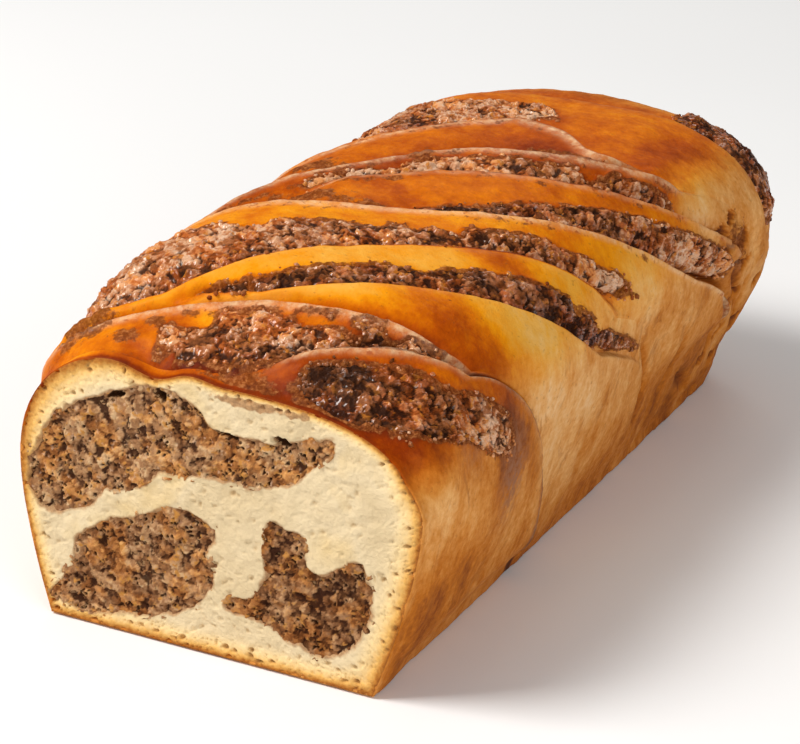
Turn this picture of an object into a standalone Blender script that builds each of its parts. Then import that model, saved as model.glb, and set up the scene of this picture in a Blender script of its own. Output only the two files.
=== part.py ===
"""Nut strudel: the baked end of a plaited nut loaf, cut across, lying flat on its base."""
import bpy
import bmesh
import math
import random
import numpy as np
from mathutils import Matrix

# Loaf, in millimetres. The cut is at y = 0 and the loaf runs away along +y.
MM = 0.001
SHARP_ANGLE = 40.0
LOAF_LENGTH = 272.0
BASE_HALF_WIDTH = 45.0
HALF_WIDTH = 55.5
SHOULDER_HEIGHT = 48.0
SHOULDER_SQUARENESS = 2.7
WALL_CURVE = 1.6
NOMINAL_HEIGHT = 77.0
HEIGHT_AT_CUT = 74.5
HEIGHT_IN_MIDDLE = 87.0
HEIGHT_AT_END = 82.5
RISE_LENGTH = 46.0
DROP_START = 185.0
DROP_LENGTH = 75.0

# How far the sides swell, as shares of the half width, and from where along the loaf over what length
LEFT_BULGE = 0.036
LEFT_BULGE_START = 18.0
LEFT_BULGE_LENGTH = 50.0
RIGHT_BULGE = 0.056
RIGHT_BULGE_START = 170.0
RIGHT_BULGE_LENGTH = 80.0
BOTH_BULGE = 0.012
BOTH_BULGE_START = 60.0
BOTH_BULGE_LENGTH = 60.0

# Rounded far end
END_ROUNDING = 34.0
END_SQUARENESS = 3.0
END_CENTRE_HEIGHT = 22.0
END_LEAN = 6.5
END_LAST_STEP = 0.02

# Points of the cross-section over the top and down the wall, and the step that normals are taken over
TOP_POINT_COUNT = 240
WALL_POINT_COUNT = 60
NORMAL_STEP = 0.4

# Plait relief
FALL_LENGTH = 2.5
FALL_SHARE = 0.3
SMALLEST_SPACING = 3.0
FADE_LENGTH = 12.0
CUT_DIP_PLACE = -17.0
CUT_DIP_WIDTH = 9.0
CUT_DIP_DEPTH = 4.5
CUT_FLATTENING = 3.4
CUT_FLAT_START = -12.0
CUT_FLAT_STOP = 72.0
CUT_FLAT_FADE = 14.0
SHOULDER_DIP_PLACE = -58.0
SHOULDER_DIP_WIDTH = 15.0
SHOULDER_DIP_DEPTH = 2.8
SHOULDER_DIP_LENGTH = 26.0
CUT_BLEND_LENGTH = 9.0
DOUGH_WOBBLE = 0.55
WOBBLE_START_LENGTH = 12.0
LONG_WAVE = (13.0, 19.0)
SHORT_WAVE = (7.0, 11.0)
SHORT_WAVE_SHARE = 0.6
END_FADE_START = 12.0
END_FADE_LENGTH = 10.0
BASE_FADE_LENGTH = 9.0

# Mesh of the dough
TOP_COLUMN_SPACING = 4.6
TOP_COLUMN_REACH = 80.0
WALL_COLUMN_COUNT = 5
ROWS_PER_RIDGE = 4
END_ROW_COUNT = 9
END_FIRST_STEP = 1.25
END_CAP_SHARE = 0.35
JUST_BEFORE_CREST = 0.9999

# Gap kept between two solids that touch
GAP = 0.32
STRIP_GAP_SCALE = 1.3
CORE_GAP_SCALE = 1.2

# Strips of filling
NUT_BUMP = 0.75
STRIP_COLUMN_SPACING = 5.0
STRIP_ROW_COUNT = 5
STRIP_SETBACK = 3.4
STRIP_TIP_WIDTH = 0.22
STRIP_TIP_POWER = 6
STRIP_SMALLEST_HALF = 1.0
CUTTER_RISE = 4.0

# Filling cores
CORE_END_MARGIN = 30.0
CORE_SECTION_COUNT = 8
CORE_OUTLINE_COUNT = 24
CORE_END_LENGTH = 18.0
CORE_SINK_LENGTH = 13.0
CORE_FIRST_SECTIONS = (0.0, 3.0, 7.0)
CORE_SWAY = 1.2
CORE_SWAY_LENGTH = 31.0
CORE_END_CLOSING = 0.75
CORE_FACE_BUMP = 0.7
CORE_FACE_RINGS = (0.78, 0.52, 0.26)
CUTTER_REACH = 4.0

# Each ridge crest is a line y(g) over the crust, g being the distance round the loaf from its top
# line, negative to the left. top is y at g = 0, left and right are its slopes to either side, bend
# its extra climb to the right in thousandths, and side the y that it comes to on the right wall
# past the knee, over about the length reach.
# lift is how far the crest stands over the crust, from g = start to g = stop.
RIDGES = (
    dict(top=1.5, left=0.0, right=0.66, bend=0.0, knee=51.0, reach=20.0, side=84.0,
         lift=1.9, start=14.0, stop=112.0),
    dict(top=26.5, left=0.30, right=0.16, bend=0.0, knee=66.0, reach=12.0, side=90.0,
         lift=1.8, start=-62.0, stop=46.0),
    dict(top=30.5, left=0.60, right=0.55, bend=0.14, knee=66.0, reach=12.0, side=162.0,
         lift=2.3, start=-12.0, stop=84.0),
    dict(top=54.0, left=1.10, right=0.93, bend=0.05, knee=62.0, reach=12.0, side=174.0,
         lift=2.4, start=-72.0, stop=62.0),
    dict(top=91.0, left=0.45, right=0.45, bend=0.196, knee=66.0, reach=12.0, side=225.0,
         lift=2.7, start=-84.0, stop=88.0),
    dict(top=126.0, left=0.90, right=0.50, bend=0.18, knee=58.0, reach=12.0, side=232.0,
         lift=2.2, start=-10.0, stop=60.0),
    dict(top=149.0, left=1.20, right=0.30, bend=0.23, knee=48.0, reach=14.0, side=238.0,
         lift=1.8, start=-74.0, stop=46.0),
    dict(top=184.0, left=1.00, right=0.00, bend=0.057, knee=66.0, reach=14.0, side=244.0,
         lift=3.0, start=-80.0, stop=34.0),
    dict(top=229.0, left=0.35, right=0.10, bend=0.0, knee=66.0, reach=14.0, side=250.0,
         lift=1.6, start=-66.0, stop=76.0),
)
FAR_LOBE_DIP = 13.0
FAR_LOBE_DIP_PLACE = 27.0
FAR_LOBE_DIP_WIDTH = 10.0
LEFT_SIDE_START = 52.0
LEFT_SIDE_BLEND = 60.0

# Each strip of filling lies behind the crest of its ridge. near and far are its edges as shares of
# the way to the next crest, at its left and right ends. The first two lie in front of their crest.
STRIPS = (
    dict(name="nut_strip_front_right", ridge=-1, start=25.0, stop=68.0,
         near=(0.24, 0.56), far=(0.80, 0.80), depth=2.6, proud=0.3, seed=11),
    dict(name="nut_strip_front", ridge=0, start=-17.0, stop=41.0,
         near=(0.14, 0.20), far=(0.86, 0.84), depth=2.6, proud=0.5, seed=12),
    dict(name="nut_strip_second", ridge=2, start=-18.0, stop=71.0,
         near=(0.12, 0.10), far=(0.42, 0.70), depth=4.2, proud=0.5, seed=13),
    dict(name="nut_strip_third", ridge=3, start=-62.0, stop=58.0,
         near=(0.05, 0.10), far=(0.80, 0.52), depth=4.2, proud=1.0, seed=14),
    dict(name="nut_strip_fourth", ridge=4, start=0.0, stop=70.0,
         near=(0.07, 0.10), far=(0.28, 0.84), depth=4.2, proud=0.8, seed=15),
    dict(name="nut_strip_fifth", ridge=5, start=-30.0, stop=50.0,
         near=(0.12, 0.12), far=(0.66, 0.72), depth=4.0, proud=0.5, seed=16),
    dict(name="nut_strip_sixth", ridge=6, start=1.0, stop=31.0,
         near=(0.10, 0.16), far=(0.34, 0.62), depth=3.6, proud=0.4, seed=17),
    dict(name="nut_strip_far_left", ridge=7, start=-50.0, stop=-3.0,
         near=(0.05, 0.06), far=(0.55, 0.36), depth=4.0, proud=0.8, seed=18),
    dict(name="nut_strip_far_end", ridge=8, start=26.0, stop=66.0,
         near=(0.10, 0.10), far=(0.62, 0.62), depth=3.4, proud=2.2, seed=19),
)

# Outlines of the filling on the cut, as a few (x, z) corners that a smooth closed curve runs through
CORES = (
    dict(name="filling_core_upper", seed=3, low=30.0, shrink=0.84,
         outline=((-51.0, 36.0), (-44.0, 53.0), (-31.0, 62.0), (-13.0, 65.0), (-3.0, 60.5), (14.0, 59.5),
                  (30.0, 62.5), (20.0, 50.5), (2.0, 46.7), (-18.0, 43.2), (-32.0, 34.5), (-44.0, 29.0))),
    dict(name="filling_core_left", seed=5, low=5.0, shrink=0.95,
         outline=((-36.0, 24.0), (-27.0, 29.5), (-12.0, 34.5), (-1.0, 32.5), (-1.5, 22.0), (-5.0, 10.5),
                  (-20.0, 5.8), (-38.0, 4.4), (-42.0, 9.0), (-38.0, 16.0))),
    dict(name="filling_core_right", seed=7, low=8.0, shrink=0.95,
         outline=((17.0, 37.0), (24.0, 34.5), (31.0, 30.0), (40.0, 31.5), (42.5, 22.0), (38.0, 11.5),
                  (28.0, 8.0), (14.0, 12.5), (13.0, 20.0), (14.5, 30.0))),
)

# Colours, as linear base colours, with roughness
CRUST_COLOUR = (0.42, 0.19, 0.050)
STRIP_COLOUR = (0.17, 0.085, 0.045)
CORE_COLOUR = (0.27, 0.165, 0.095)


def ease(value):
    """Smooth step from 0 to 1."""
    value = np.clip(value, 0.0, 1.0)
    return value * value * (3.0 - 2.0 * value)


def make_contour():
    """Half cross-section from the top middle to the edge of the base: distance, x and z."""
    turn = np.linspace(0.0, math.pi / 2.0, TOP_POINT_COUNT)
    power = 2.0 / SHOULDER_SQUARENESS
    top_x = HALF_WIDTH * np.sin(turn) ** power
    top_z = SHOULDER_HEIGHT + (NOMINAL_HEIGHT - SHOULDER_HEIGHT) * np.cos(turn) ** power
    down = np.linspace(0.0, 1.0, WALL_POINT_COUNT)[1:]
    wall_x = HALF_WIDTH - (HALF_WIDTH - BASE_HALF_WIDTH) * down ** WALL_CURVE
    wall_z = SHOULDER_HEIGHT * (1.0 - down)
    x = np.concatenate([top_x, wall_x])
    z = np.concatenate([top_z, wall_z])
    steps = np.hypot(np.diff(x), np.diff(z))
    distance = np.concatenate([[0.0], np.cumsum(steps)])
    return distance, x, z


CONTOUR_DISTANCE, CONTOUR_X, CONTOUR_Z = make_contour()
CONTOUR_LENGTH = float(CONTOUR_DISTANCE[-1])


def loaf_height(y):
    """Height of the top line, low at the cut and highest in the middle."""
    rise = (HEIGHT_IN_MIDDLE - HEIGHT_AT_CUT) * ease(y / RISE_LENGTH)
    drop = (HEIGHT_IN_MIDDLE - HEIGHT_AT_END) * ease((y - DROP_START) / DROP_LENGTH)
    return HEIGHT_AT_CUT + rise - drop


def base_point(g, y):
    """Point of the plain loaf at distance g round it and y along it."""
    x = np.interp(np.abs(g), CONTOUR_DISTANCE, CONTOUR_X) * np.sign(g)
    z = np.interp(np.abs(g), CONTOUR_DISTANCE, CONTOUR_Z)
    stretch = (loaf_height(y) - SHOULDER_HEIGHT) / (NOMINAL_HEIGHT - SHOULDER_HEIGHT)
    z = np.where(z > SHOULDER_HEIGHT, SHOULDER_HEIGHT + (z - SHOULDER_HEIGHT) * stretch, z)
    belly = np.clip(z / SHOULDER_HEIGHT, 0.0, 1.0)
    bulge = LEFT_BULGE * ease((y - LEFT_BULGE_START) / LEFT_BULGE_LENGTH) * (x < 0.0)
    bulge = bulge + RIGHT_BULGE * ease((y - RIGHT_BULGE_START) / RIGHT_BULGE_LENGTH) * (x > 0.0)
    bulge = bulge + BOTH_BULGE * ease((y - BOTH_BULGE_START) / BOTH_BULGE_LENGTH)
    x = x * (1.0 + belly * bulge)
    along_end = np.clip((y - (LOAF_LENGTH - END_ROUNDING)) / END_ROUNDING, 0.0, 1.0)
    narrowing = (1.0 - along_end ** END_SQUARENESS) ** (1.0 / END_SQUARENESS)
    x = x * narrowing
    z = END_CENTRE_HEIGHT + (z - END_CENTRE_HEIGHT) * narrowing
    lean = END_LEAN * (y / LOAF_LENGTH) ** 2 * (1.0 - np.clip(z / SHOULDER_HEIGHT, 0.0, 1.0))
    return np.stack([x, y - lean, z], axis=-1)


def base_normal(g, y):
    """Outward normal of the plain loaf."""
    along_g = base_point(g + NORMAL_STEP, y) - base_point(g - NORMAL_STEP, y)
    far_y = np.minimum(y + NORMAL_STEP, LOAF_LENGTH - END_LAST_STEP)
    near_y = far_y - 2.0 * NORMAL_STEP
    along_y = base_point(g, far_y) - base_point(g, near_y)
    normal = np.cross(along_g, along_y)
    length = np.linalg.norm(normal, axis=-1, keepdims=True)
    return normal / np.maximum(length, 1e-9)


def crest_lines(g):
    """y of every ridge crest at g, in order from the cut, never closer than the smallest spacing."""
    lines = []
    count = len(RIDGES)
    last = np.zeros_like(g)
    for index, ridge in enumerate(RIDGES):
        reached = np.minimum(g, ridge["knee"])
        to_right = np.maximum(reached, 0.0)
        y = ridge["top"] + ridge["left"] * np.minimum(reached, 0.0)
        y = y + ridge["right"] * to_right + ridge["bend"] * 0.001 * to_right ** 3
        past_knee = np.maximum(g - ridge["knee"], 0.0)
        y = y + (ridge["side"] - y) * (1.0 - np.exp(-past_knee / ridge["reach"]))
        if index == count - 2:
            y = y - FAR_LOBE_DIP * np.exp(-((g - FAR_LOBE_DIP_PLACE) / FAR_LOBE_DIP_WIDTH) ** 2)
        even = (index + 1.0) / (count + 1.0) * LOAF_LENGTH
        blend = ease((-g - LEFT_SIDE_START) / LEFT_SIDE_BLEND)
        y = y + (even - y) * blend
        y = np.maximum(y, last + SMALLEST_SPACING)
        lines.append(y)
        last = y
    return lines


def crest_lift(index, g):
    """Height of a crest over the crust at g, fading at both ends of the ridge."""
    ridge = RIDGES[index]
    fade_in = ease((g - ridge["start"]) / FADE_LENGTH + 0.5)
    fade_out = ease((ridge["stop"] - g) / FADE_LENGTH + 0.5)
    return ridge["lift"] * fade_in * fade_out


def relief(g, y):
    """Height of the plaited crust over the plain loaf: ridges that rise slowly and fall off behind."""
    lines = crest_lines(g)
    zero = np.zeros_like(g)
    starts = [zero] + lines
    ends = lines + [zero + LOAF_LENGTH]
    lifts = [zero] + [crest_lift(index, g) for index in range(len(RIDGES))] + [zero]
    height = np.zeros_like(g + y)
    for index in range(len(starts)):
        begin = starts[index]
        span = ends[index] - begin
        inside = (y >= begin) & (y < ends[index])
        along = np.clip((y - begin) / np.maximum(span, 0.01), 0.0, 1.0)
        fall = ease((y - begin) / np.minimum(FALL_LENGTH, span * FALL_SHARE))
        climb = np.sin(along * math.pi / 2.0)
        level = lifts[index] * (1.0 - 2.0 * fall) + (lifts[index] + lifts[index + 1]) * climb
        height = np.where(inside, level, height)
    wobble = np.sin(g / LONG_WAVE[0] + 0.7) * np.sin(y / LONG_WAVE[1] + 0.3)
    wobble = wobble + SHORT_WAVE_SHARE * np.sin(g / SHORT_WAVE[0] - y / SHORT_WAVE[1])
    height = height + DOUGH_WOBBLE * wobble * ease(y / WOBBLE_START_LENGTH)
    near_cut = 1.0 - ease(y / CUT_BLEND_LENGTH)
    dip = CUT_DIP_DEPTH * np.exp(-((g - CUT_DIP_PLACE) / CUT_DIP_WIDTH) ** 2)
    flat_share = ease((g - CUT_FLAT_START) / CUT_FLAT_FADE) * ease((CUT_FLAT_STOP - g) / CUT_FLAT_FADE)
    height = height * (1.0 - near_cut) - (dip + CUT_FLATTENING * flat_share) * near_cut
    shoulder = np.exp(-((g - SHOULDER_DIP_PLACE) / SHOULDER_DIP_WIDTH) ** 2)
    height = height - SHOULDER_DIP_DEPTH * shoulder * (1.0 - ease(y / SHOULDER_DIP_LENGTH))
    end_fade = 1.0 - ease((y - (LOAF_LENGTH - END_FADE_START)) / END_FADE_LENGTH)
    base_fade = ease((CONTOUR_LENGTH - np.abs(g)) / BASE_FADE_LENGTH)
    return height * end_fade * base_fade


def crust_point(g, y, lift):
    """Point of the plaited crust, raised by lift along the normal."""
    return base_point(g, y) + base_normal(g, y) * (relief(g, y) + lift)[..., None]


def clear_scene():
    """Remove every object that the start-up file brings."""
    for item in list(bpy.data.objects):
        bpy.data.objects.remove(item, do_unlink=True)


def make_material(name, colour, roughness):
    """Principled material with a plain colour."""
    material = bpy.data.materials.new(name)
    material.use_nodes = True
    shader = material.node_tree.nodes["Principled BSDF"]
    shader.inputs["Base Color"].default_value = (*colour, 1.0)
    shader.inputs["Roughness"].default_value = roughness
    shader.inputs["Metallic"].default_value = 0.0
    return material


def finish_mesh(name, mesh_data, material):
    """Turn a bmesh in millimetres into an object in metres."""
    bmesh.ops.scale(mesh_data, verts=mesh_data.verts, vec=(MM, MM, MM))
    bmesh.ops.triangulate(mesh_data, faces=mesh_data.faces)
    bmesh.ops.recalc_face_normals(mesh_data, faces=mesh_data.faces)
    mesh = bpy.data.meshes.new(name)
    mesh_data.to_mesh(mesh)
    mesh_data.free()
    mesh.shade_smooth()
    mesh.set_sharp_from_angle(angle=math.radians(SHARP_ANGLE))
    item = bpy.data.objects.new(name, mesh)
    if material is not None:
        item.data.materials.append(material)
    bpy.context.scene.collection.objects.link(item)
    return item


def add_sheet(mesh_data, points):
    """Add a grid of vertices and its faces; returns the vertices row by row."""
    rows = []
    for row in points:
        rows.append([mesh_data.verts.new(point) for point in row])
    for near, far in zip(rows[:-1], rows[1:]):
        for first, second, third, fourth in zip(near[:-1], near[1:], far[1:], far[:-1]):
            mesh_data.faces.new((first, second, third, fourth))
    return rows


def dough_columns():
    """Distances round the loaf at which the dough mesh has its columns."""
    half = int(round(TOP_COLUMN_REACH / TOP_COLUMN_SPACING))
    top = np.linspace(-TOP_COLUMN_REACH, TOP_COLUMN_REACH, 2 * half + 1)
    wall = np.linspace(TOP_COLUMN_REACH, CONTOUR_LENGTH, WALL_COLUMN_COUNT + 1)[1:]
    return np.concatenate([-wall[::-1], top, wall])


def dough_rows(g):
    """y of every mesh row at each column: the rows follow the crests and crowd at their far sides."""
    lines = crest_lines(g)
    zero = np.zeros_like(g)
    starts = [zero] + lines
    rows = [zero]
    for index in range(len(lines)):
        begin = starts[index]
        span = lines[index] - begin
        fall = np.minimum(FALL_LENGTH, span * FALL_SHARE)
        for share in np.linspace(0.0, 1.0, ROWS_PER_RIDGE + 1):
            if index > 0 or share > 0.0:
                rows.append(begin + fall + (span - fall) * share * JUST_BEFORE_CREST)
    last = rows[-1] + END_FIRST_STEP
    for step in range(1, END_ROW_COUNT + 1):
        turn = step / (END_ROW_COUNT + END_CAP_SHARE) * math.pi / 2.0
        share = math.sin(turn) ** (2.0 / END_SQUARENESS)
        rows.append(last + (LOAF_LENGTH - last) * share)
    return rows


def build_dough(material):
    """The whole loaf as one closed solid."""
    g = dough_columns()
    rows = dough_rows(g)
    points = [crust_point(g, y, np.zeros_like(g)) for y in rows]
    mesh_data = bmesh.new()
    grid = add_sheet(mesh_data, points)
    for near, far in zip(grid[:-1], grid[1:]):
        mesh_data.faces.new((near[-1], near[0], far[0], far[-1]))
    mesh_data.faces.new(grid[0])
    mesh_data.faces.new(grid[-1][::-1])
    for vertex in mesh_data.verts:
        vertex.co.z = max(vertex.co.z, 0.0)
    for vertex in grid[0]:
        vertex.co.y = 0.0
    return finish_mesh("dough", mesh_data, material)


def strip_grid(strip):
    """g and y over a strip of filling."""
    length = strip["stop"] - strip["start"]
    columns = int(round(length / STRIP_COLUMN_SPACING)) + 1
    share = np.linspace(0.0, 1.0, columns)
    g = strip["start"] + length * share
    lines = crest_lines(g)
    begin = lines[strip["ridge"]] if strip["ridge"] >= 0 else np.zeros_like(g)
    following = strip["ridge"] + 1
    end = lines[following] if following < len(lines) else np.full_like(g, LOAF_LENGTH)
    near = begin + (end - begin) * (strip["near"][0] + (strip["near"][1] - strip["near"][0]) * share)
    far = begin + (end - begin) * (strip["far"][0] + (strip["far"][1] - strip["far"][0]) * share)
    near = np.maximum(near, STRIP_SETBACK)
    middle = 0.5 * (near + far)
    rounding = np.sqrt(np.clip(1.0 - (2.0 * share - 1.0) ** STRIP_TIP_POWER, 0.0, 1.0))
    taper = STRIP_TIP_WIDTH + (1.0 - STRIP_TIP_WIDTH) * rounding
    half = np.maximum(0.5 * (far - near) * taper, STRIP_SMALLEST_HALF)
    across = np.linspace(-1.0, 1.0, STRIP_ROW_COUNT)[:, None]
    return np.broadcast_to(g, (STRIP_ROW_COUNT, columns)), middle + half * across


def rim_of(rows):
    """The vertices round the edge of a grid, in order."""
    rim = rows[0] + [row[-1] for row in rows[1:]]
    return rim + rows[-1][-2::-1] + [row[0] for row in rows[-2:0:-1]]


def build_strip(strip, material, cutter):
    """A strip of filling set into the crust, or the cutter that makes room for it."""
    g, y = strip_grid(strip)
    bumps = np.random.default_rng(strip["seed"]).uniform(-1.0, 1.0, g.shape) * NUT_BUMP
    mesh_data = bmesh.new()
    top_rows = add_sheet(mesh_data, crust_point(g, y, strip["proud"] + bumps))
    bottom_rows = add_sheet(mesh_data, crust_point(g, y, np.full(g.shape, -strip["depth"])))
    rim_top = rim_of(top_rows)
    rim_bottom = rim_of(bottom_rows)
    for index in range(len(rim_top)):
        following = (index + 1) % len(rim_top)
        mesh_data.faces.new((rim_top[index], rim_top[following], rim_bottom[following], rim_bottom[index]))
    if cutter:
        grow_mesh(mesh_data, GAP * STRIP_GAP_SCALE)
        raising = base_normal(g, y) * CUTTER_RISE
        for row, moves in zip(top_rows, raising):
            for vertex, move in zip(row, moves):
                vertex.co = np.array(vertex.co) + move
    name = strip["name"] + ("_cutter" if cutter else "")
    return finish_mesh(name, mesh_data, None if cutter else material)


def grow_mesh(mesh_data, margin):
    """Move every face of a closed mesh outwards by margin."""
    bmesh.ops.triangulate(mesh_data, faces=mesh_data.faces)
    bmesh.ops.recalc_face_normals(mesh_data, faces=mesh_data.faces)
    mesh_data.normal_update()
    moves = [vertex.normal * vertex.calc_shell_factor() * margin for vertex in mesh_data.verts]
    for vertex, move in zip(mesh_data.verts, moves):
        vertex.co = vertex.co + move


def smooth_outline(corners):
    """Closed smooth curve through a few corners, at even steps of its parameter."""
    corners = np.array(corners)
    count = len(corners)
    position = np.linspace(0.0, count, CORE_OUTLINE_COUNT, endpoint=False)
    index = position.astype(int)
    along = (position - index)[:, None]
    before = corners[(index - 1) % count]
    first = corners[index % count]
    second = corners[(index + 1) % count]
    after = corners[(index + 2) % count]
    curve = 2.0 * first + (second - before) * along
    curve = curve + (2.0 * before - 5.0 * first + 4.0 * second - after) * along ** 2
    curve = curve + (3.0 * first - before - 3.0 * second + after) * along ** 3
    return 0.5 * curve


def grow_outline(outline, margin):
    """Move a closed outline outwards by margin."""
    tangent = np.roll(outline, -1, axis=0) - np.roll(outline, 1, axis=0)
    normal = np.stack([-tangent[:, 1], tangent[:, 0]], axis=-1)
    normal = normal / np.linalg.norm(normal, axis=1, keepdims=True)
    return outline + normal * margin


def core_section(core, outline, y, margin):
    """The outline of a core at y: it sinks and shrinks behind the cut and closes at the far end."""
    stop = LOAF_LENGTH - CORE_END_MARGIN
    sink = ease(y / CORE_SINK_LENGTH)
    centre = outline.mean(axis=0)
    size = 1.0 - (1.0 - core["shrink"]) * sink
    sway = CORE_SWAY * math.sin(y / CORE_SWAY_LENGTH + core["seed"]) * float(sink)
    closing = np.clip((y - (stop - CORE_END_LENGTH)) / CORE_END_LENGTH, 0.0, 1.0)
    closing = math.sqrt(max(1.0 - CORE_END_CLOSING * closing ** 2, 0.0))
    section = outline.copy()
    section[:, 0] = centre[0] + (section[:, 0] - centre[0]) * size + sway
    section[:, 1] = core["low"] + (section[:, 1] - core["low"]) * size
    middle = section.mean(axis=0)
    section = middle + (section - middle) * closing
    return grow_outline(section, margin)


def build_core(core, material, cutter):
    """Filling that shows on the cut and runs through the loaf, or the cutter that makes room for it."""
    margin = GAP * CORE_GAP_SCALE if cutter else 0.0
    outline = smooth_outline(core["outline"])
    stop = LOAF_LENGTH - CORE_END_MARGIN
    sections = np.linspace(CORE_SINK_LENGTH, stop, CORE_SECTION_COUNT)
    sections = np.concatenate([CORE_FIRST_SECTIONS, sections])
    mesh_data = bmesh.new()
    points = []
    if cutter:
        first = core_section(core, outline, 0.0, margin)
        points.append([(x, -CUTTER_REACH, z) for x, z in first])
    for y in sections:
        place = y + (margin if cutter and y == stop else 0.0)
        points.append([(x, place, z) for x, z in core_section(core, outline, y, margin)])
    rows = add_sheet(mesh_data, points)
    for near, far in zip(rows[:-1], rows[1:]):
        mesh_data.faces.new((near[-1], near[0], far[0], far[-1]))
    mesh_data.faces.new(rows[-1][::-1])
    if cutter:
        mesh_data.faces.new(rows[0])
    else:
        add_bumpy_face(mesh_data, rows[0], core["seed"])
    name = core["name"] + ("_cutter" if cutter else "")
    return finish_mesh(name, mesh_data, None if cutter else material)


def add_bumpy_face(mesh_data, rim, seed):
    """Close a core on the cut with rings of small lumps."""
    chance = random.Random(seed)
    middle = np.mean([vertex.co for vertex in rim], axis=0)
    outer = rim
    for share in CORE_FACE_RINGS:
        inner = []
        for vertex in rim:
            spot = middle + (np.array(vertex.co) - middle) * share
            spot[1] = -chance.uniform(0.0, 1.0) * CORE_FACE_BUMP
            inner.append(mesh_data.verts.new(spot))
        for index in range(len(rim)):
            following = (index + 1) % len(rim)
            mesh_data.faces.new((outer[index], outer[following], inner[following], inner[index]))
        outer = inner
    tip = mesh_data.verts.new((middle[0], -0.5 * CORE_FACE_BUMP, middle[2]))
    for index in range(len(rim)):
        mesh_data.faces.new((outer[index], outer[(index + 1) % len(rim)], tip))


def cut_with(item, cutter):
    """Subtract a hidden cutter from a solid."""
    cutter.hide_render = True
    cutter.display_type = "WIRE"
    modifier = item.modifiers.new("room_for_" + cutter.name, "BOOLEAN")
    modifier.operation = "DIFFERENCE"
    modifier.solver = "EXACT"
    modifier.object = cutter


def move_to_origin():
    """Shift everything so that the origin is the middle of the loaf's plan, on its base."""
    items = [item for item in bpy.data.objects if item.type == "MESH"]
    corners = []
    for item in items:
        if not item.hide_render:
            corners.extend(vertex.co[:2] for vertex in item.data.vertices)
    corners = np.array(corners)
    middle = 0.5 * (corners.min(axis=0) + corners.max(axis=0))
    for item in items:
        item.data.transform(Matrix.Translation((-middle[0], -middle[1], 0.0)))
    print("middle of the plan, in metres:", middle)


def main():
    clear_scene()
    crust = make_material("crust", CRUST_COLOUR, 0.38)
    strip_filling = make_material("baked_nut_filling", STRIP_COLOUR, 0.5)
    core_filling = make_material("soft_nut_filling", CORE_COLOUR, 0.8)
    dough = build_dough(crust)
    for core in CORES:
        build_core(core, core_filling, False)
        cut_with(dough, build_core(core, None, True))
    for strip in STRIPS:
        build_strip(strip, strip_filling, False)
        cut_with(dough, build_strip(strip, None, True))
    move_to_origin()


main()
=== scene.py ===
import bpy
import itertools
import math
import numpy as np
from mathutils import Matrix, Vector


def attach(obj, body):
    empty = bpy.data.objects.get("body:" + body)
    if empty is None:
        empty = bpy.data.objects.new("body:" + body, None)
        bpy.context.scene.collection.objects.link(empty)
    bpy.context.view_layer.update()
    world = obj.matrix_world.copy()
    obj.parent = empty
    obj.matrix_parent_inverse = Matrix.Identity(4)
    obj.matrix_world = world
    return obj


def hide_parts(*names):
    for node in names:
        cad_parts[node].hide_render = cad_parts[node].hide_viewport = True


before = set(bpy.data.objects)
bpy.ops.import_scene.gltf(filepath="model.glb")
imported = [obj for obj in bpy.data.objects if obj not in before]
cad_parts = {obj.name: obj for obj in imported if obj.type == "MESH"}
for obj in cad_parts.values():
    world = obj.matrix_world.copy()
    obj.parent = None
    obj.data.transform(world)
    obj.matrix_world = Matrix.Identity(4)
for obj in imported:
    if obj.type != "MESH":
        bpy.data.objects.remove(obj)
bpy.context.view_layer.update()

mm = 0.001      # in metres

# the loaf's form in millimetres: g goes round it from its top line, to the right above 0
# y runs back from the cut
loaf = dict(
    length=272.0, baseHalf=45.0, half=55.5, shoulder=48.0, squareness=2.7, nominal=77.0,
    atCut=74.5, inMiddle=87.0, atEnd=82.5, leftBulge=0.036, rightBulge=0.056,
    endRounding=34.0, endSquareness=3.0, endCentre=22.0, endLean=6.5,
    middleX=-0.46, middleY=135.16,      # the middle of its plan, which is the origin
)

# ridges of the plait: y of the crest on the top line, length of the drop behind it, slopes to the left and
# right, extra climb, where it turns down the wall and how far it goes there, its rise, and where it starts
# and stops round the loaf
ridges = [
    dict(top=1.5, fall=2.6, left=0.0, right=0.66, bend=0.0,
         knee=51.0, reach=20.0, side=84.0, lift=3.1, start=14.0, stop=112.0),
    dict(top=26.5, fall=2.6, left=0.30, right=0.16, bend=0.0,
         knee=66.0, reach=12.0, side=90.0, lift=2.3, start=-62.0, stop=50.0),
    dict(top=30.5, fall=3.5, left=0.60, right=0.55, bend=0.14,
         knee=66.0, reach=12.0, side=162.0, lift=2.6, start=-20.0, stop=72.0, fadeOut=28.0),
    dict(top=54.0, fall=4.5, left=1.10, right=0.93, bend=0.05,
         knee=62.0, reach=12.0, side=174.0, lift=2.9, start=-72.0, stop=56.0, fadeOut=22.0),
    dict(top=91.0, fall=4.5, left=0.45, right=0.45, bend=0.196,
         knee=66.0, reach=12.0, side=225.0, lift=3.8, start=-84.0, stop=88.0),
    dict(top=126.0, fall=4.0, left=0.90, right=0.50, bend=0.18,
         knee=58.0, reach=12.0, side=232.0, lift=3.3, start=-24.0, stop=70.0),
    dict(top=149.0, fall=4.5, left=1.20, right=0.30, bend=0.23,
         knee=48.0, reach=14.0, side=238.0, lift=4.2, start=-74.0, stop=46.0),
    dict(top=184.0, fall=5.0, left=1.00, right=0.00, bend=0.057,
         knee=66.0, reach=14.0, side=244.0, lift=3.6, start=-80.0, stop=34.0),
    dict(top=229.0, fall=6.0, left=0.35, right=0.10, bend=0.0,
         knee=66.0, reach=14.0, side=250.0, lift=1.6, start=-66.0, stop=76.0),
]

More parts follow.
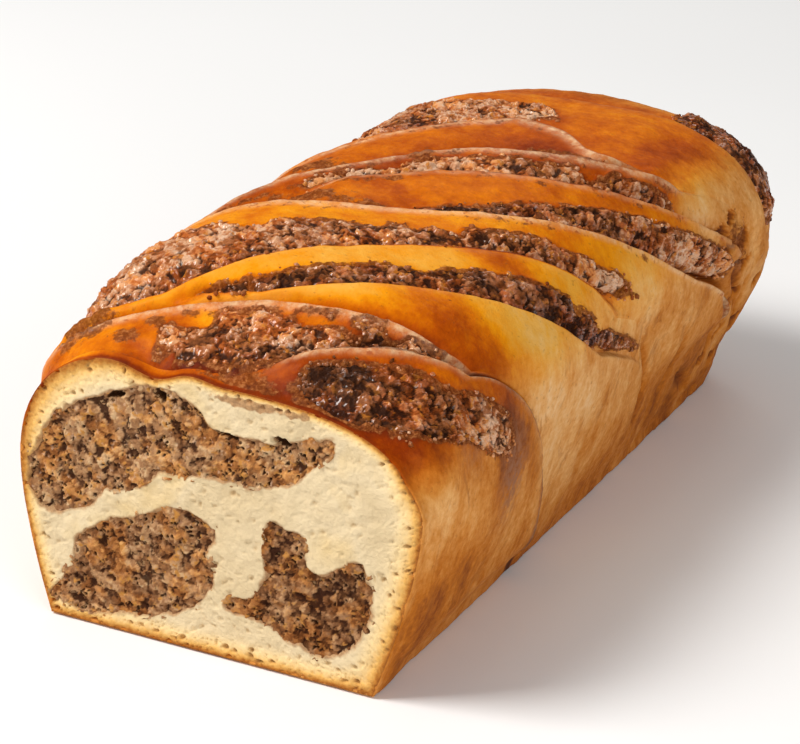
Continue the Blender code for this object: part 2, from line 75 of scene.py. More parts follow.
# strips of baked filling behind the crests: where they start and stop round the loaf, where their near and
# far edges lie between two crests at either end, how far they stand out, how ragged they are, and how pale
# at either end
strips = [
    dict(name="nut_strip_front_right", ridge=-1, start=19.0, stop=69.0,
         near=(0.00, 0.60), far=(0.74, 0.80), curve=2.0, proud=0.0, seed=11, gaps=1.5, light=(0.06, 0.76)),
    dict(name="nut_strip_front", ridge=0, start=-23.0, stop=42.0,
         near=(0.08, 0.12), far=(0.84, 0.88), proud=0.4, seed=12, gaps=6.5, light=(0.54, 0.44)),
    dict(name="nut_strip_second", ridge=2, start=-18.0, stop=71.0,
         near=(0.12, 0.10), far=(0.42, 0.70), proud=0.5, seed=13, gaps=5.0, light=(0.46, 0.26)),
    dict(name="nut_strip_third", ridge=3, start=-62.0, stop=58.0,
         near=(0.05, 0.10), far=(0.80, 0.52), proud=1.0, seed=14, gaps=7.0, light=(0.60, 0.44)),
    dict(name="nut_strip_fourth", ridge=4, start=0.0, stop=71.0,
         near=(0.07, 0.08), far=(0.30, 0.92), proud=0.9, seed=15, gaps=3.0, light=(0.10, 0.80)),
    dict(name="nut_strip_fifth", ridge=5, start=-30.0, stop=50.0,
         near=(0.12, 0.12), far=(0.66, 0.72), proud=0.5, seed=16, gaps=7.0, light=(0.90, 0.40)),
    dict(name="nut_strip_sixth", ridge=6, start=1.0, stop=31.0,
         near=(0.10, 0.16), far=(0.34, 0.62), proud=0.4, seed=17, gaps=9.0, light=(0.34, 0.34)),
    dict(name="nut_strip_far_left", ridge=7, start=-50.0, stop=2.0,
         near=(0.05, 0.06), far=(0.84, 0.70), proud=1.0, seed=18, gaps=5.0, light=(0.50, 0.66)),
    dict(name="nut_strip_far_end", ridge=8, start=26.0, stop=66.0,
         near=(0.10, 0.10), far=(0.62, 0.62), proud=1.2, seed=19, gaps=4.0, light=(0.30, 0.26)),
]

# outlines of the filling on the cut, as (x, z) corners of a smooth closed curve
cores = [
    dict(name="filling_core_upper", seed=3, low=30.0, shrink=0.84, light=0.58,
         outline=((-33.0, 62.0), (-27.0, 64.5), (-20.0, 67.0), (-13.0, 67.6), (-9.0, 66.0), (-4.0, 62.0),
                  (2.0, 58.5), (9.0, 59.0), (17.0, 60.0), (25.0, 63.0), (31.0, 63.5), (30.0, 60.0),
                  (26.0, 56.0), (20.0, 50.5), (10.0, 47.5), (-4.0, 46.4), (-16.0, 44.0), (-23.0, 39.5),
                  (-29.0, 37.0), (-35.0, 31.0), (-43.0, 28.0), (-50.0, 30.0), (-51.5, 41.0),
                  (-46.0, 52.0))),
    dict(name="filling_core_left", seed=5, low=5.0, shrink=0.95, light=0.50,
         outline=((-30.0, 28.0), (-22.0, 32.0), (-12.0, 36.0), (-2.0, 35.0), (1.0, 32.0), (-1.0, 27.0),
                  (1.0, 20.0), (-1.0, 14.0), (-7.0, 9.4), (-16.0, 6.6), (-28.0, 3.6), (-39.0, 3.4),
                  (-45.0, 6.0), (-42.0, 10.5), (-39.0, 16.0), (-37.0, 23.0))),
    dict(name="filling_core_right", seed=7, low=8.0, shrink=0.95, light=0.36,
         outline=((15.0, 38.0), (20.0, 38.6), (24.0, 37.0), (26.0, 30.5), (30.0, 29.0), (37.0, 33.0),
                  (40.5, 33.0), (43.0, 28.0), (43.0, 20.0), (38.0, 10.6), (28.0, 6.8), (18.0, 11.0),
                  (10.0, 12.6), (4.5, 13.6), (5.0, 16.0), (11.0, 18.0), (14.0, 24.0), (14.5, 31.0))),
]


def ease(value):
    value = np.clip(value, 0.0, 1.0)
    return value * value * (3.0 - 2.0 * value)


def blend(first, second, share):
    return first + (second - first) * share


def bell(away):
    # 1 in the middle, softly down to 0
    return np.exp(-away ** 2)


# the form of the loaf

def makeContour():
    turn = np.linspace(0.0, math.pi / 2.0, 400)
    power = 2.0 / loaf["squareness"]
    x = loaf["half"] * np.sin(turn) ** power
    z = loaf["shoulder"] + (loaf["nominal"] - loaf["shoulder"]) * np.cos(turn) ** power
    down = np.linspace(0.0, 1.0, 100)[1:]
    x = np.concatenate([x, loaf["half"] - (loaf["half"] - loaf["baseHalf"]) * down ** 1.6])
    z = np.concatenate([z, loaf["shoulder"] * (1.0 - down)])
    way = np.concatenate([[0.0], np.cumsum(np.hypot(np.diff(x), np.diff(z)))])
    return way, x, z


contourWay, contourX, contourZ = makeContour()
contourLength = float(contourWay[-1])


def basePoint(g, y):
    x = np.interp(np.abs(g), contourWay, contourX) * np.sign(g)
    z = np.interp(np.abs(g), contourWay, contourZ)
    height = loaf["atCut"] + (loaf["inMiddle"] - loaf["atCut"]) * ease(y / 46.0)
    height = height - (loaf["inMiddle"] - loaf["atEnd"]) * ease((y - 185.0) / 75.0)
    shoulder = loaf["shoulder"]
    stretch = (height - shoulder) / (loaf["nominal"] - shoulder)
    z = np.where(z > shoulder, shoulder + (z - shoulder) * stretch, z)
    bulge = loaf["leftBulge"] * ease((y - 18.0) / 50.0) * (x < 0.0)
    bulge = bulge + loaf["rightBulge"] * ease((y - 170.0) / 80.0) * (x > 0.0)
    x = x * (1.0 + np.clip(z / shoulder, 0.0, 1.0) * (bulge + 0.012 * ease((y - 60.0) / 60.0)))
    end = np.clip((y - (loaf["length"] - loaf["endRounding"])) / loaf["endRounding"], 0.0, 1.0)
    narrow = (1.0 - end ** loaf["endSquareness"]) ** (1.0 / loaf["endSquareness"])
    x = x * narrow
    z = loaf["endCentre"] + (z - loaf["endCentre"]) * narrow
    lean = loaf["endLean"] * (y / loaf["length"]) ** 2 * (1.0 - np.clip(z / shoulder, 0.0, 1.0))
    return np.stack([x, y - lean, z], axis=-1)


def baseNormal(g, y):
    step = 0.4
    alongG = basePoint(g + step, y) - basePoint(g - step, y)
    farY = np.minimum(y + step, loaf["length"] - 0.02)
    alongY = basePoint(g, farY) - basePoint(g, farY - 2.0 * step)
    normal = np.cross(alongG, alongY)
    return normal / np.maximum(np.linalg.norm(normal, axis=-1, keepdims=True), 1e-9)


def crestLines(g):
    lines = []
    last = np.zeros_like(g)
    for index, ridge in enumerate(ridges):
        reached = np.minimum(g, ridge["knee"])
        toRight = np.maximum(reached, 0.0)
        y = ridge["top"] + ridge["left"] * np.minimum(reached, 0.0)
        y = y + ridge["right"] * toRight + ridge["bend"] * 0.001 * toRight ** 3
        y = y + (ridge["side"] - y) * (1.0 - np.exp(-np.maximum(g - ridge["knee"], 0.0) / ridge["reach"]))
        if index == len(ridges) - 2:
            y = y - 13.0 * np.exp(-((g - 27.0) / 10.0) ** 2)      # the far lobe comes forward here
        even = (index + 1.0) / (len(ridges) + 1.0) * loaf["length"]
        y = y + (even - y) * ease((-g - 52.0) / 60.0)
        y = np.maximum(y, last + 3.0)
        lines.append(y)
        last = y
    return lines


def crestLift(index, g):
    # rise of a ridge, with soft ends
    ridge = ridges[index]
    begins = ease((g - ridge["start"]) / 12.0 + 0.5)
    ends = ease((ridge["stop"] - g) / ridge.get("fadeOut", 12.0) + 0.5)
    return ridge["lift"] * begins * ends


def plait(g, y, groove=0.0):
    # height of the ridges over the plain loaf, and each point's share of the way from crest to crest
    lines = crestLines(g)
    zero = np.zeros_like(g)
    starts = [zero] + lines
    ends = lines + [zero + loaf["length"]]
    lifts = [zero] + [crestLift(index, g) for index in range(len(ridges))] + [zero]
    falls = [2.0] + [ridge["fall"] for ridge in ridges]
    height = np.zeros_like(g + y)
    share = np.zeros_like(g + y)
    for index in range(len(starts)):
        span = ends[index] - starts[index]
        inside = (y >= starts[index]) & (y < ends[index])
        along = np.clip((y - starts[index]) / np.maximum(span, 0.01), 0.0, 1.0)
        fallLength = np.minimum(falls[index], span * 0.35)
        fall = ease((y - starts[index]) / fallLength)
        climb = np.sin(along * math.pi / 2.0) ** 0.8
        level = lifts[index] * (1.0 - 2.0 * fall) + (lifts[index] + lifts[index + 1]) * climb
        # the groove runs out at the tips of two ridges
        tip = ease((66.0 - g) / 22.0) if index in (3, 4) else 1.0
        level = level - groove * tip * lifts[index] / 3.0 * bell((y - starts[index] - fallLength) / 1.8)
        height = np.where(inside, level, height)
        share = np.where(inside, along, share)
    wobble = np.sin(g / 13.0 + 0.7) * np.sin(y / 19.0 + 0.3) + 0.6 * np.sin(g / 7.0 - y / 11.0)
    height = height + 0.55 * wobble * ease(y / 12.0)
    # at the cut the top is flatter, with a dip left of its middle and another on the left shoulder
    nearCut = 1.0 - ease(y / 9.0)
    dip = 4.5 * np.exp(-((g + 17.0) / 9.0) ** 2)
    flattening = 3.4 * ease((g + 12.0) / 14.0) * ease((72.0 - g) / 14.0)
    height = height * (1.0 - nearCut) - (dip + flattening) * nearCut
    height = height - 2.8 * np.exp(-((g + 58.0) / 15.0) ** 2) * (1.0 - ease(y / 26.0))
    fade = (1.0 - ease((y - (loaf["length"] - 12.0)) / 10.0)) * ease((contourLength - np.abs(g)) / 9.0)
    return height * fade, share


def stripEdges(strip, g):
    # near and far edge of a strip at g
    length = strip["stop"] - strip["start"]
    share = np.clip((g - strip["start"]) / length, 0.0, 1.0)
    lines = crestLines(g)
    begin = lines[strip["ridge"]] if strip["ridge"] >= 0 else np.zeros_like(g)
    following = strip["ridge"] + 1
    end = lines[following] if following < len(lines) else np.full_like(g, loaf["length"])
    near = begin + (end - begin) * blend(*strip["near"], share ** strip.get("curve", 1.0))
    far = begin + (end - begin) * blend(*strip["far"], share)
    near = np.maximum(near, 1.6)
    middle = 0.5 * (near + far)
    taper = 0.22 + 0.78 * np.sqrt(np.clip(1.0 - (2.0 * share - 1.0) ** 6, 0.0, 1.0))
    half = np.maximum(0.5 * (far - near) * taper, 1.0)
    return middle - half, middle + half


def nutCover(strip, g, y):
    # how far inside a strip's nuts a point is, in millimetres, below 0 outside
    # the edge is ragged and has gaps
    near, far = stripEdges(strip, g)
    inside = np.minimum(y - near, far - y)
    inside = np.minimum(inside, np.minimum(g - strip["start"], strip["stop"] - g) * 0.8)
    place = np.stack([g, y, np.zeros_like(g)], axis=-1)
    gaps = np.minimum(rough(place, 8.0, strip["seed"] + 50, 2) + 0.15, 0.0)
    return inside + (0.9 * rough(place, 4.0, strip["seed"]) + strip["gaps"] * gaps)


# grains and lumps

def cellChance(cell, seed):
    # a chance value from 0 to 1 for a cell of a grid in space
    x, y, z = (cell[..., axis].astype(np.int64).astype(np.uint64) for axis in range(3))
    mask = np.uint64(0xFFFFFFFF)
    mixed = (x * np.uint64(73856093)) ^ (y * np.uint64(19349663)) ^ (z * np.uint64(83492791))
    mixed = (mixed ^ np.uint64(seed * 97531 + 12345)) & mask
    for factor, shift in ((2246822519, 15), (3266489917, 13)):
        mixed = ((mixed ^ (mixed >> np.uint64(shift))) * np.uint64(factor)) & mask
    return ((mixed ^ (mixed >> np.uint64(16))) & np.uint64(0xFFFFFF)).astype(float) / 16777216.0


def softNoise(points, size, seed):
    # smooth noise from -1 to 1 with lumps of about this size
    place = points / size + 1000.0
    low = np.floor(place)
    part = place - low
    part = part * part * (3.0 - 2.0 * part)
    total = 0.0
    for corner in itertools.product((0, 1), repeat=3):
        weight = 1.0
        for axis in range(3):
            weight = weight * (part[..., axis] if corner[axis] else 1.0 - part[..., axis])
        total = total + weight * cellChance(low + np.array(corner), seed)
    return 2.0 * total - 1.0


def rough(points, size, seed, layers=3):
    total = 0.0
    for layer in range(layers):
        total = total + softNoise(points, size / 2.0 ** layer, seed + 7 * layer) / 2.0 ** layer
    return total


def crumbs(points, size, seed, stretch=(1.0, 1.0, 1.0)):
    # distance to the nearest grain over its size, a chance value of that grain and its own slant at the point
    place = points / (size * np.array(stretch)) + 1000.0
    low = np.floor(place)
    best = np.full(points.shape[:-1], 9.0)
    nearest = np.zeros_like(low)
    offset = np.zeros_like(low)
    for step in itertools.product((-1, 0, 1), repeat=3):
        cell = low + np.array(step)
        spot = cell + np.stack([cellChance(cell, seed + axis) for axis in range(3)], axis=-1)
        away = np.linalg.norm(spot - place, axis=-1)
        nearer = (away < best)[..., None]
        nearest = np.where(nearer, cell, nearest)
        offset = np.where(nearer, place - spot, offset)
        best = np.minimum(best, away)
    slant = sum((cellChance(nearest, seed + 4 + axis) - 0.5) * offset[..., axis] for axis in range(3))
    return best, cellChance(nearest, seed + 3), 2.0 * slant


def warp(points):
    # points moved a little, so that the lumps placed by them are uneven
    return points + 0.5 * np.stack([rough(points, 2.5, 3 + axis, 2) for axis in range(3)], axis=-1)


def dome(away, reach):
    return np.sqrt(np.maximum(1.0 - (away / reach) ** 2, 0.0))


# making pieces

def pickNothing():
    if bpy.context.object and bpy.context.object.mode != "OBJECT":
        bpy.ops.object.mode_set(mode="OBJECT")
    bpy.ops.object.select_all(action="DESELECT")


def newSheet(name, across, along):
    # a flat grid to be shaped, with its own two measures from 0 to 1
    pickNothing()
    bpy.ops.mesh.primitive_grid_add(x_subdivisions=across, y_subdivisions=along, size=2.0, location=(0, 0, 0))
    piece = bpy.context.object
    piece.name = name
    piece.data.name = name
    flat = np.empty(len(piece.data.vertices) * 3)
    piece.data.vertices.foreach_get("co", flat)
    flat = flat.reshape(-1, 3)
    return piece, 0.5 + 0.5 * flat[:, 0], 0.5 + 0.5 * flat[:, 1]


def shapeSheet(piece, points):
    moved = (points - np.array([loaf["middleX"], loaf["middleY"], 0.0])) * mm
    piece.data.vertices.foreach_set("co", moved.ravel())
    piece.data.update()


def noteOn(piece, name, values):
    # a value at every vertex, for the materials
    layer = piece.data.attributes.new(name, "FLOAT", "POINT")
    layer.data.foreach_set("value", np.ascontiguousarray(values, dtype=np.float32))


def closeSheet(piece, capEnds):
    # joins the seams, caps what is open and turns every face outwards
    pickNothing()
    piece.select_set(True)
    bpy.context.view_layer.objects.active = piece
    bpy.ops.object.mode_set(mode="EDIT")
    bpy.ops.mesh.select_all(action="SELECT")
    bpy.ops.mesh.remove_doubles(threshold=0.000002)
    if capEnds:
        bpy.ops.mesh.select_all(action="DESELECT")
        bpy.ops.mesh.select_mode(type="EDGE")
        bpy.ops.mesh.select_non_manifold(
            extend=False, use_wire=False, use_boundary=True, use_multi_face=False,
            use_non_contiguous=False, use_verts=False)
        bpy.ops.mesh.edge_face_add()
    bpy.ops.mesh.select_all(action="SELECT")
    bpy.ops.mesh.normals_make_consistent(inside=False)
    bpy.ops.object.mode_set(mode="OBJECT")
    bpy.ops.object.shade_smooth()


def finishPiece(piece, node, material):
    piece.data.materials.clear()
    piece.data.materials.append(material)
    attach(piece, "root")
    if node:
        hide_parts(node)
    print("made", piece.name, len(piece.data.polygons), "faces")


# materials

class Wire:
    # a socket that plus, minus and times can be written with
    def __init__(self, paint, socket):
        self.paint = paint
        self.socket = socket

    def maths(self, operation, first, second):
        return self.paint.node("ShaderNodeMath", {"operation": operation}, {0: first, 1: second})

    def __add__(self, other):
        return self.maths("ADD", self, other)

    def __sub__(self, other):
        return self.maths("SUBTRACT", self, other)

    def __rsub__(self, other):
        return self.maths("SUBTRACT", other, self)

    def __mul__(self, other):
        return self.maths("MULTIPLY", self, other)

    __radd__ = __add__
    __rmul__ = __mul__


class Paint:
    # one material, built node by node
    def __init__(self, name, **fixed):
        self.material = bpy.data.materials.new(name)
        self.material.use_nodes = True
        self.tree = self.material.node_tree
        self.shader = self.tree.nodes["Principled BSDF"]
        for socketName, value in fixed.items():
            self.shader.inputs[socketName.replace("_", " ")].default_value = value

    def node(self, kind, settings, inputs, output=0):
        made = self.tree.nodes.new(kind)
        for key, value in settings.items():
            if key == "stops":
                ramp = made.color_ramp
                while len(ramp.elements) < len(value):
                    ramp.elements.new(0.5)
                for element, (place, colour) in zip(ramp.elements, value):
                    element.position = place
                    element.color = (*colour, 1.0)
            else:
                setattr(made, key, value)
        for key, value in inputs.items():
            if isinstance(value, Wire):
                self.tree.links.new(value.socket, made.inputs[key])
            elif isinstance(value, tuple) and len(value) == 3 and made.inputs[key].type == "RGBA":
                made.inputs[key].default_value = (*value, 1.0)
            else:
                made.inputs[key].default_value = value
        return Wire(self, made.outputs[output])

    def place(self):
        return self.node("ShaderNodeTexCoord", {}, {}, "Object")

    def value(self, name):
        return self.node("ShaderNodeAttribute", {"attribute_name": name}, {}, "Fac")

    def noise(self, size, detail=4.0, roughness=0.55, where=None, distortion=0.0):
        # size in millimetres
        inputs = {"Vector": where or self.place(), "Scale": 1000.0 / size, "Detail": detail,
                  "Roughness": roughness, "Distortion": distortion}
        return self.node("ShaderNodeTexNoise", {}, inputs, "Fac")

    def squash(self, value, low, high):
        # 0 below low, 1 above high, smooth between
        inputs = {"Value": value, "From Min": low, "From Max": high}
        return self.node("ShaderNodeMapRange", {"interpolation_type": "SMOOTHSTEP"}, inputs)

    def ramp(self, value, *stops):
        return self.node("ShaderNodeValToRGB", {"stops": stops}, {"Fac": value})

    def mix(self, share, first, second, how="MIX"):
        settings = {"data_type": "RGBA", "blend_type": how}
        return self.node("ShaderNodeMix", settings, {"Factor": share, 6: first, 7: second}, 2)

    def feed(self, socketName, wire):
        self.tree.links.new(wire.socket, self.shader.inputs[socketName])

    def bump(self, height, strength, distance):
        inputs = {"Height": height, "Strength": strength, "Distance": distance}
        self.feed("Normal", self.node("ShaderNodeBump", {}, inputs))


crustColours = dict(
    # from pale to burnt: glossy on top, dull on the walls
    amber=((0.0, (0.82, 0.52, 0.18)), (0.18, (0.80, 0.38, 0.045)), (0.34, (0.78, 0.275, 0.003)),
           (0.48, (0.62, 0.150, 0.001)), (0.60, (0.42, 0.072, 0.001)), (0.74, (0.23, 0.028, 0.001)),
           (0.88, (0.12, 0.014, 0.002)), (1.0, (0.05, 0.009, 0.003))),
    dull=((0.0, (0.84, 0.58, 0.32)), (0.22, (0.745, 0.39, 0.140)), (0.40, (0.61, 0.250, 0.056)),
          (0.58, (0.48, 0.150, 0.016)), (0.76, (0.26, 0.070, 0.012)), (1.0, (0.10, 0.030, 0.012))),
    # pale crest lips: partly the paler dough of the crest, partly a painted highlight
    lip=((0.35, (0.70, 0.36, 0.16)), (0.60, (0.84, 0.58, 0.33))),
    nuts=((0.30, (0.060, 0.014, 0.004)), (0.50, (0.20, 0.050, 0.010)), (0.66, (0.42, 0.155, 0.045))),
    blotch=(0.36, 0.115, 0.020), freckle=(0.20, 0.055, 0.010),
    rust=(0.34, 0.060, 0.010), film=(0.30, 0.130, 0.066),
)


def crustPaint():
    look = crustColours
    paint = Paint("bakedCrust", Coat_Roughness=0.20, Specular_IOR_Level=0.03)
    tone, gloss, lip, film, smear = (paint.value(name) for name in ("tone", "gloss", "lip", "film", "smear"))
    # the marks of the bake run down the walls
    drawnOut = paint.node("ShaderNodeMapping", {}, {"Vector": paint.place(), "Scale": (1.0, 1.0, 0.45)})
    broad = paint.noise(22.0, 4.0, 0.6, drawnOut) - 0.5
    middle = paint.noise(7.0, 5.0, 0.62, drawnOut) - 0.5
    fine = paint.noise(1.8, 4.0, 0.6) - 0.5
    wall = 1.0 - gloss
    shade = tone + broad * 0.34 + middle * (0.36 + wall * 0.34) + fine * (0.16 + wall * 0.24)
    colour = paint.mix(gloss, paint.ramp(shade, *look["dull"]), paint.ramp(shade, *look["amber"]))
    blotch = paint.squash(paint.noise(9.0, 6.0, 0.66, drawnOut, 0.6), 0.54, 0.66)
    colour = paint.mix(blotch * wall * 0.55, colour, look["blotch"])
    freckle = paint.squash(paint.noise(1.5, 3.0, 0.6), 0.60, 0.74)
    colour = paint.mix(freckle * 0.35, colour, look["freckle"])
    worn = paint.squash(paint.noise(4.0, 5.0, 0.7), 0.34, 0.62)
    # the pale lip colour: partly the crest's paler dough, partly a painted highlight along it
    colour = paint.mix(lip * (0.22 + worn * 0.66), colour, paint.ramp(fine + 0.5, *look["lip"]))
    besideLip = paint.squash(lip, 0.02, 0.3) * (1.0 - paint.squash(lip, 0.6, 1.0))
    rust = paint.squash(paint.noise(3.0, 3.0, 0.6), 0.58, 0.68) * besideLip
    colour = paint.mix(rust * 0.7, colour, look["rust"])
    # syrup film, which on the first lobe's wall is also painted shadow
    patchy = paint.squash(paint.noise(2.4, 4.0, 0.65), 0.30, 0.62)
    colour = paint.mix(film * patchy, colour, look["film"])
    crumbNoise = paint.noise(1.3, 4.0, 0.7)
    ragged = paint.squash(smear + (paint.noise(5.0, 5.0, 0.7) - 0.5) * 2.6, 0.44, 0.70)
    colour = paint.mix(ragged * 0.85, colour, paint.ramp(crumbNoise, *look["nuts"]))
    paint.feed("Base Color", colour)
    paint.feed("Roughness", 0.62 - gloss * 0.14 + fine * 0.25)
    paint.feed("Coat Weight", gloss * (0.015 + lip * 0.20))
    relief = paint.noise(4.0, 6.0, 0.62) * 0.6 + paint.noise(0.8, 3.0, 0.6) * 0.25 + crumbNoise * smear * 0.8
    paint.bump(relief, 0.5, 0.0012)
    return paint.material


crumbColours = dict(
    bread=((0.32, (0.66, 0.51, 0.30)), (0.52, (0.73, 0.58, 0.36)), (0.70, (0.70, 0.52, 0.27))),
    edge=((0.0, (0.82, 0.64, 0.37)), (0.40, (0.86, 0.62, 0.30)), (0.72, (0.76, 0.43, 0.12)),
          (0.92, (0.48, 0.19, 0.03)), (1.0, (0.32, 0.10, 0.014))),
    poreShade=(0.45, 0.25, 0.085),
    stain=((0.3, (0.20, 0.085, 0.030)), (0.6, (0.46, 0.24, 0.10))),
)


def crumbPaint():
    look = crumbColours
    paint = Paint("breadCrumb", Roughness=0.92, Specular_IOR_Level=0.2)
    rim, depth = paint.value("rim"), paint.value("depth")
    grain = paint.noise(1.5, 5.0, 0.65)
    colour = paint.ramp(paint.noise(16.0, 3.0, 0.5), *look["bread"])
    edge = paint.ramp(rim + (grain - 0.5) * 0.35, *look["edge"])
    colour = paint.mix(paint.squash(rim, 0.03, 0.40), colour, edge)
    # painted shade in the pores, by their depth
    poreShade = paint.squash(depth + (grain - 0.5) * 0.25, 0.25, 1.1)
    colour = paint.mix(poreShade * 0.6, colour, look["poreShade"])
    stain = paint.value("stain") + (paint.noise(2.2, 4.0, 0.6) - 0.5) * 0.7
    colour = paint.mix(paint.squash(stain, 0.30, 0.85) * 0.85, colour, paint.ramp(grain, *look["stain"]))
    paint.feed("Base Color", colour)
    paint.bump(grain * 0.6 + paint.noise(3.0, 3.0, 0.6) * 0.4, 0.6, 0.0012)
    return paint.material


def fillingPaint(name, look):
    # ground nuts, as soft paste or baked, by the colours and the wetness in look
    paint = Paint(name, Specular_IOR_Level=0.06, Coat_Roughness=0.07)
    pit, chance, light = (paint.value(note) for note in ("pit", "chance", "light"))
    patch = paint.noise(6.0, 3.0, 0.55) - 0.5
    grain = paint.noise(1.0, 5.0, 0.65) - 0.5
    tone = light + (chance - 0.5) * 0.90 + grain * 0.70 + patch * 0.50
    colour = paint.ramp(tone, *look["stops"])
    colour = paint.mix(paint.squash(paint.noise(8.0, 4.0, 0.6), 0.44, 0.60), colour, look["warm"], "MULTIPLY")
    bits = paint.squash(paint.noise(2.2, 2.0, 0.5), 0.57, 0.67) * paint.squash(chance, 0.3, 0.6)
    colour = paint.mix(bits * paint.squash(light, 0.0, 0.5) * 0.9, colour, look["orange"])
    cream = paint.squash(paint.noise(1.6, 2.0, 0.5), 0.60, 0.70) * paint.squash(light, 0.42, 0.72)
    colour = paint.mix(cream * 0.65, colour, (0.74, 0.50, 0.34))
    # painted shade in the hollows between the nuts and in the holes
    colour = paint.mix(paint.squash(pit, 0.10, 0.80) * 0.90, colour, (0.034, 0.010, 0.004))
    paint.feed("Base Color", colour)
    paint.feed("Roughness", 0.62 - paint.squash(grain + 0.5, 0.4, 0.7) * (look["wet"] * 0.5))
    paint.feed("Coat Weight", paint.squash(chance + patch * 0.6, 0.50, 0.66) * look["wet"])
    paint.bump(grain * 0.7 + paint.noise(0.45, 2.0, 0.5) * 0.3, 0.6, 0.0009)
    return paint.material


# the crust

crustLook = dict(
    columns=296, baseColumns=4,               # columns of the mesh round the loaf, and under it at each side
    rowsIn=(40, 22, 42, 30, 38, 34, 26, 30, 30, 30),     # its rows between one crest and the next
    inner=4,                                  # first rows, turned in behind the cut face
    recess=1.6, groove=1.9, lipHeight=0.6,    # sinking under the nuts, depth behind crests, rise of lips
    # creases in the wall: from g, y to g, y, half width, depth
    creases=((70.0, 146.0, 104.0, 163.0, 1.5, 1.6), (66.0, 199.0, 100.0, 222.0, 1.8, 2.2),
             (70.0, 216.0, 92.0, 234.0, 1.6, 2.0), (60.0, 197.0, 70.0, 206.0, 2.0, 1.2),
             (98.0, 196.0, 112.0, 214.0, 2.2, 2.0), (92.0, 236.0, 112.0, 246.0, 2.0, 2.2),
             (76.0, 176.0, 108.0, 186.0, 1.4, 0.9), (84.0, 108.0, 110.0, 120.0, 1.3, 0.6),
             (78.0, 232.0, 108.0, 240.0, 1.5, 1.2), (-72.0, 60.0, -108.0, 82.0, 1.6, 1.2),
             (-70.0, 118.0, -106.0, 140.0, 1.6, 1.3), (-74.0, 182.0, -104.0, 200.0, 1.6, 1.1)),
    # how brown each band is where it starts and at its crest, and how strong and wide the lip there is, its
    # pale colour partly paler dough and partly painted highlight
    start=(0.76, 0.84, 0.47, 0.44, 0.55, 0.58, 0.70, 0.66, 0.60, 0.60),
    crest=(0.56, 0.54, 0.22, 0.27, 0.42, 0.54, 0.64, 0.54, 0.50, 0.58),
    lips=(0.8, 1.0, 0.10, 0.10, 0.80, 0.42, 0.80, 0.95, 0.1, 0.0),
    lipWidth=(1.4, 1.6, 1.5, 1.5, 1.7, 1.5, 2.0, 2.5, 2.0, 2.0),
    dust=(0.0, 0.30, 0.0, 0.0, 0.30, 0.46, 0.46, 0.42, 0.16, 0.0),      # fine crumbs of nut near each crest
    grooveDust=0.78,                          # and in the grooves where the ridges run over to the left
    rightTone=0.42, leftTone=0.46, endTone=0.48, hiddenTone=0.46,      # of walls, end and hidden falls
    pitShadeTone=0.62, pitDepth=1.8, grainHeight=0.75,
    # smears of nut: g, y, size round the loaf, size along it
    smears=((64.0, 38.0, 4.0, 6.0), (-11.0, 10.0, 4.0, 5.0), (-30.0, 9.0, 5.0, 3.0),
            (-24.0, 14.0, 4.0, 3.0), (4.0, 3.0, 11.0, 3.0), (24.0, 1.5, 6.0, 3.0), (34.0, 1.5, 8.0, 3.0),
            (-24.0, 96.0, 14.0, 5.0), (-4.0, 98.0, 10.0, 3.0), (-46.0, 16.0, 9.0, 9.0),
            (-50.0, 32.0, 8.0, 12.0), (-36.0, 130.0, 12.0, 6.0), (-12.0, 137.0, 10.0, 4.0),
            (18.0, 166.0, 12.0, 4.0), (66.0, 218.0, 6.0, 6.0)),
    # thin brown film of syrup, the first also a painted shadow along the edge of the first lobe: the same,
    # and how strong
    filmsAndShadow=((76.0, 49.0, 10.0, 7.0, 0.9), (60.0, 26.0, 7.0, 7.0, 0.4)),
    # small holes in the far wall: g, y, size
    pits=((62.0, 207.0, 2.0), (66.0, 222.0, 2.2), (70.0, 215.0, 1.8), (59.0, 214.0, 1.3), (73.0, 226.0, 1.8),
          (85.0, 228.0, 2.2), (95.0, 225.0, 1.6), (102.0, 216.0, 1.8), (84.0, 244.0, 1.8), (97.0, 243.0, 2.2),
          (90.0, 206.0, 1.4), (106.0, 232.0, 2.0)),
    # darker and paler patches: g, y, size round the loaf, size along it, change of tone
    patches=((36.0, 47.0, 13.0, 10.0, 0.29), (50.0, 50.0, 8.0, 9.0, 0.10), (72.0, 47.0, 9.0, 9.0, 0.30),
             (-20.0, 8.0, 6.0, 3.5, -0.30), (-8.0, 18.0, 8.0, 3.0, -0.16), (-25.0, 2.0, 8.0, 3.0, 0.12),
             (-40.0, 6.0, 9.0, 6.0, -0.22), (38.0, 84.0, 14.0, 8.0, 0.32), (84.0, 92.0, 18.0, 22.0, -0.20),
             (62.0, 72.0, 12.0, 14.0, -0.16), (14.0, 169.0, 14.0, 9.0, 0.18),
             (40.0, 217.0, 9.0, 12.0, 0.16), (60.0, 142.0, 10.0, 18.0, -0.18),
             (66.0, 222.0, 10.0, 8.0, 0.10), (98.0, 20.0, 14.0, 18.0, 0.16),
             (72.0, 16.0, 10.0, 10.0, -0.12), (52.0, 200.0, 8.0, 22.0, -0.24), (22.0, 9.0, 10.0, 5.0, 0.16),
             (96.0, 184.0, 12.0, 10.0, 0.06), (106.0, 150.0, 12.0, 30.0, 0.10),
             (102.0, 120.0, 14.0, 26.0, -0.06), (88.0, 212.0, 12.0, 12.0, 0.10)),
)


def spread(g, y, middleG, middleY, across, along):
    # 1 in the middle of a soft patch of the crust
    return np.exp(-((g - middleG) / across) ** 2 - ((y - middleY) / along) ** 2)


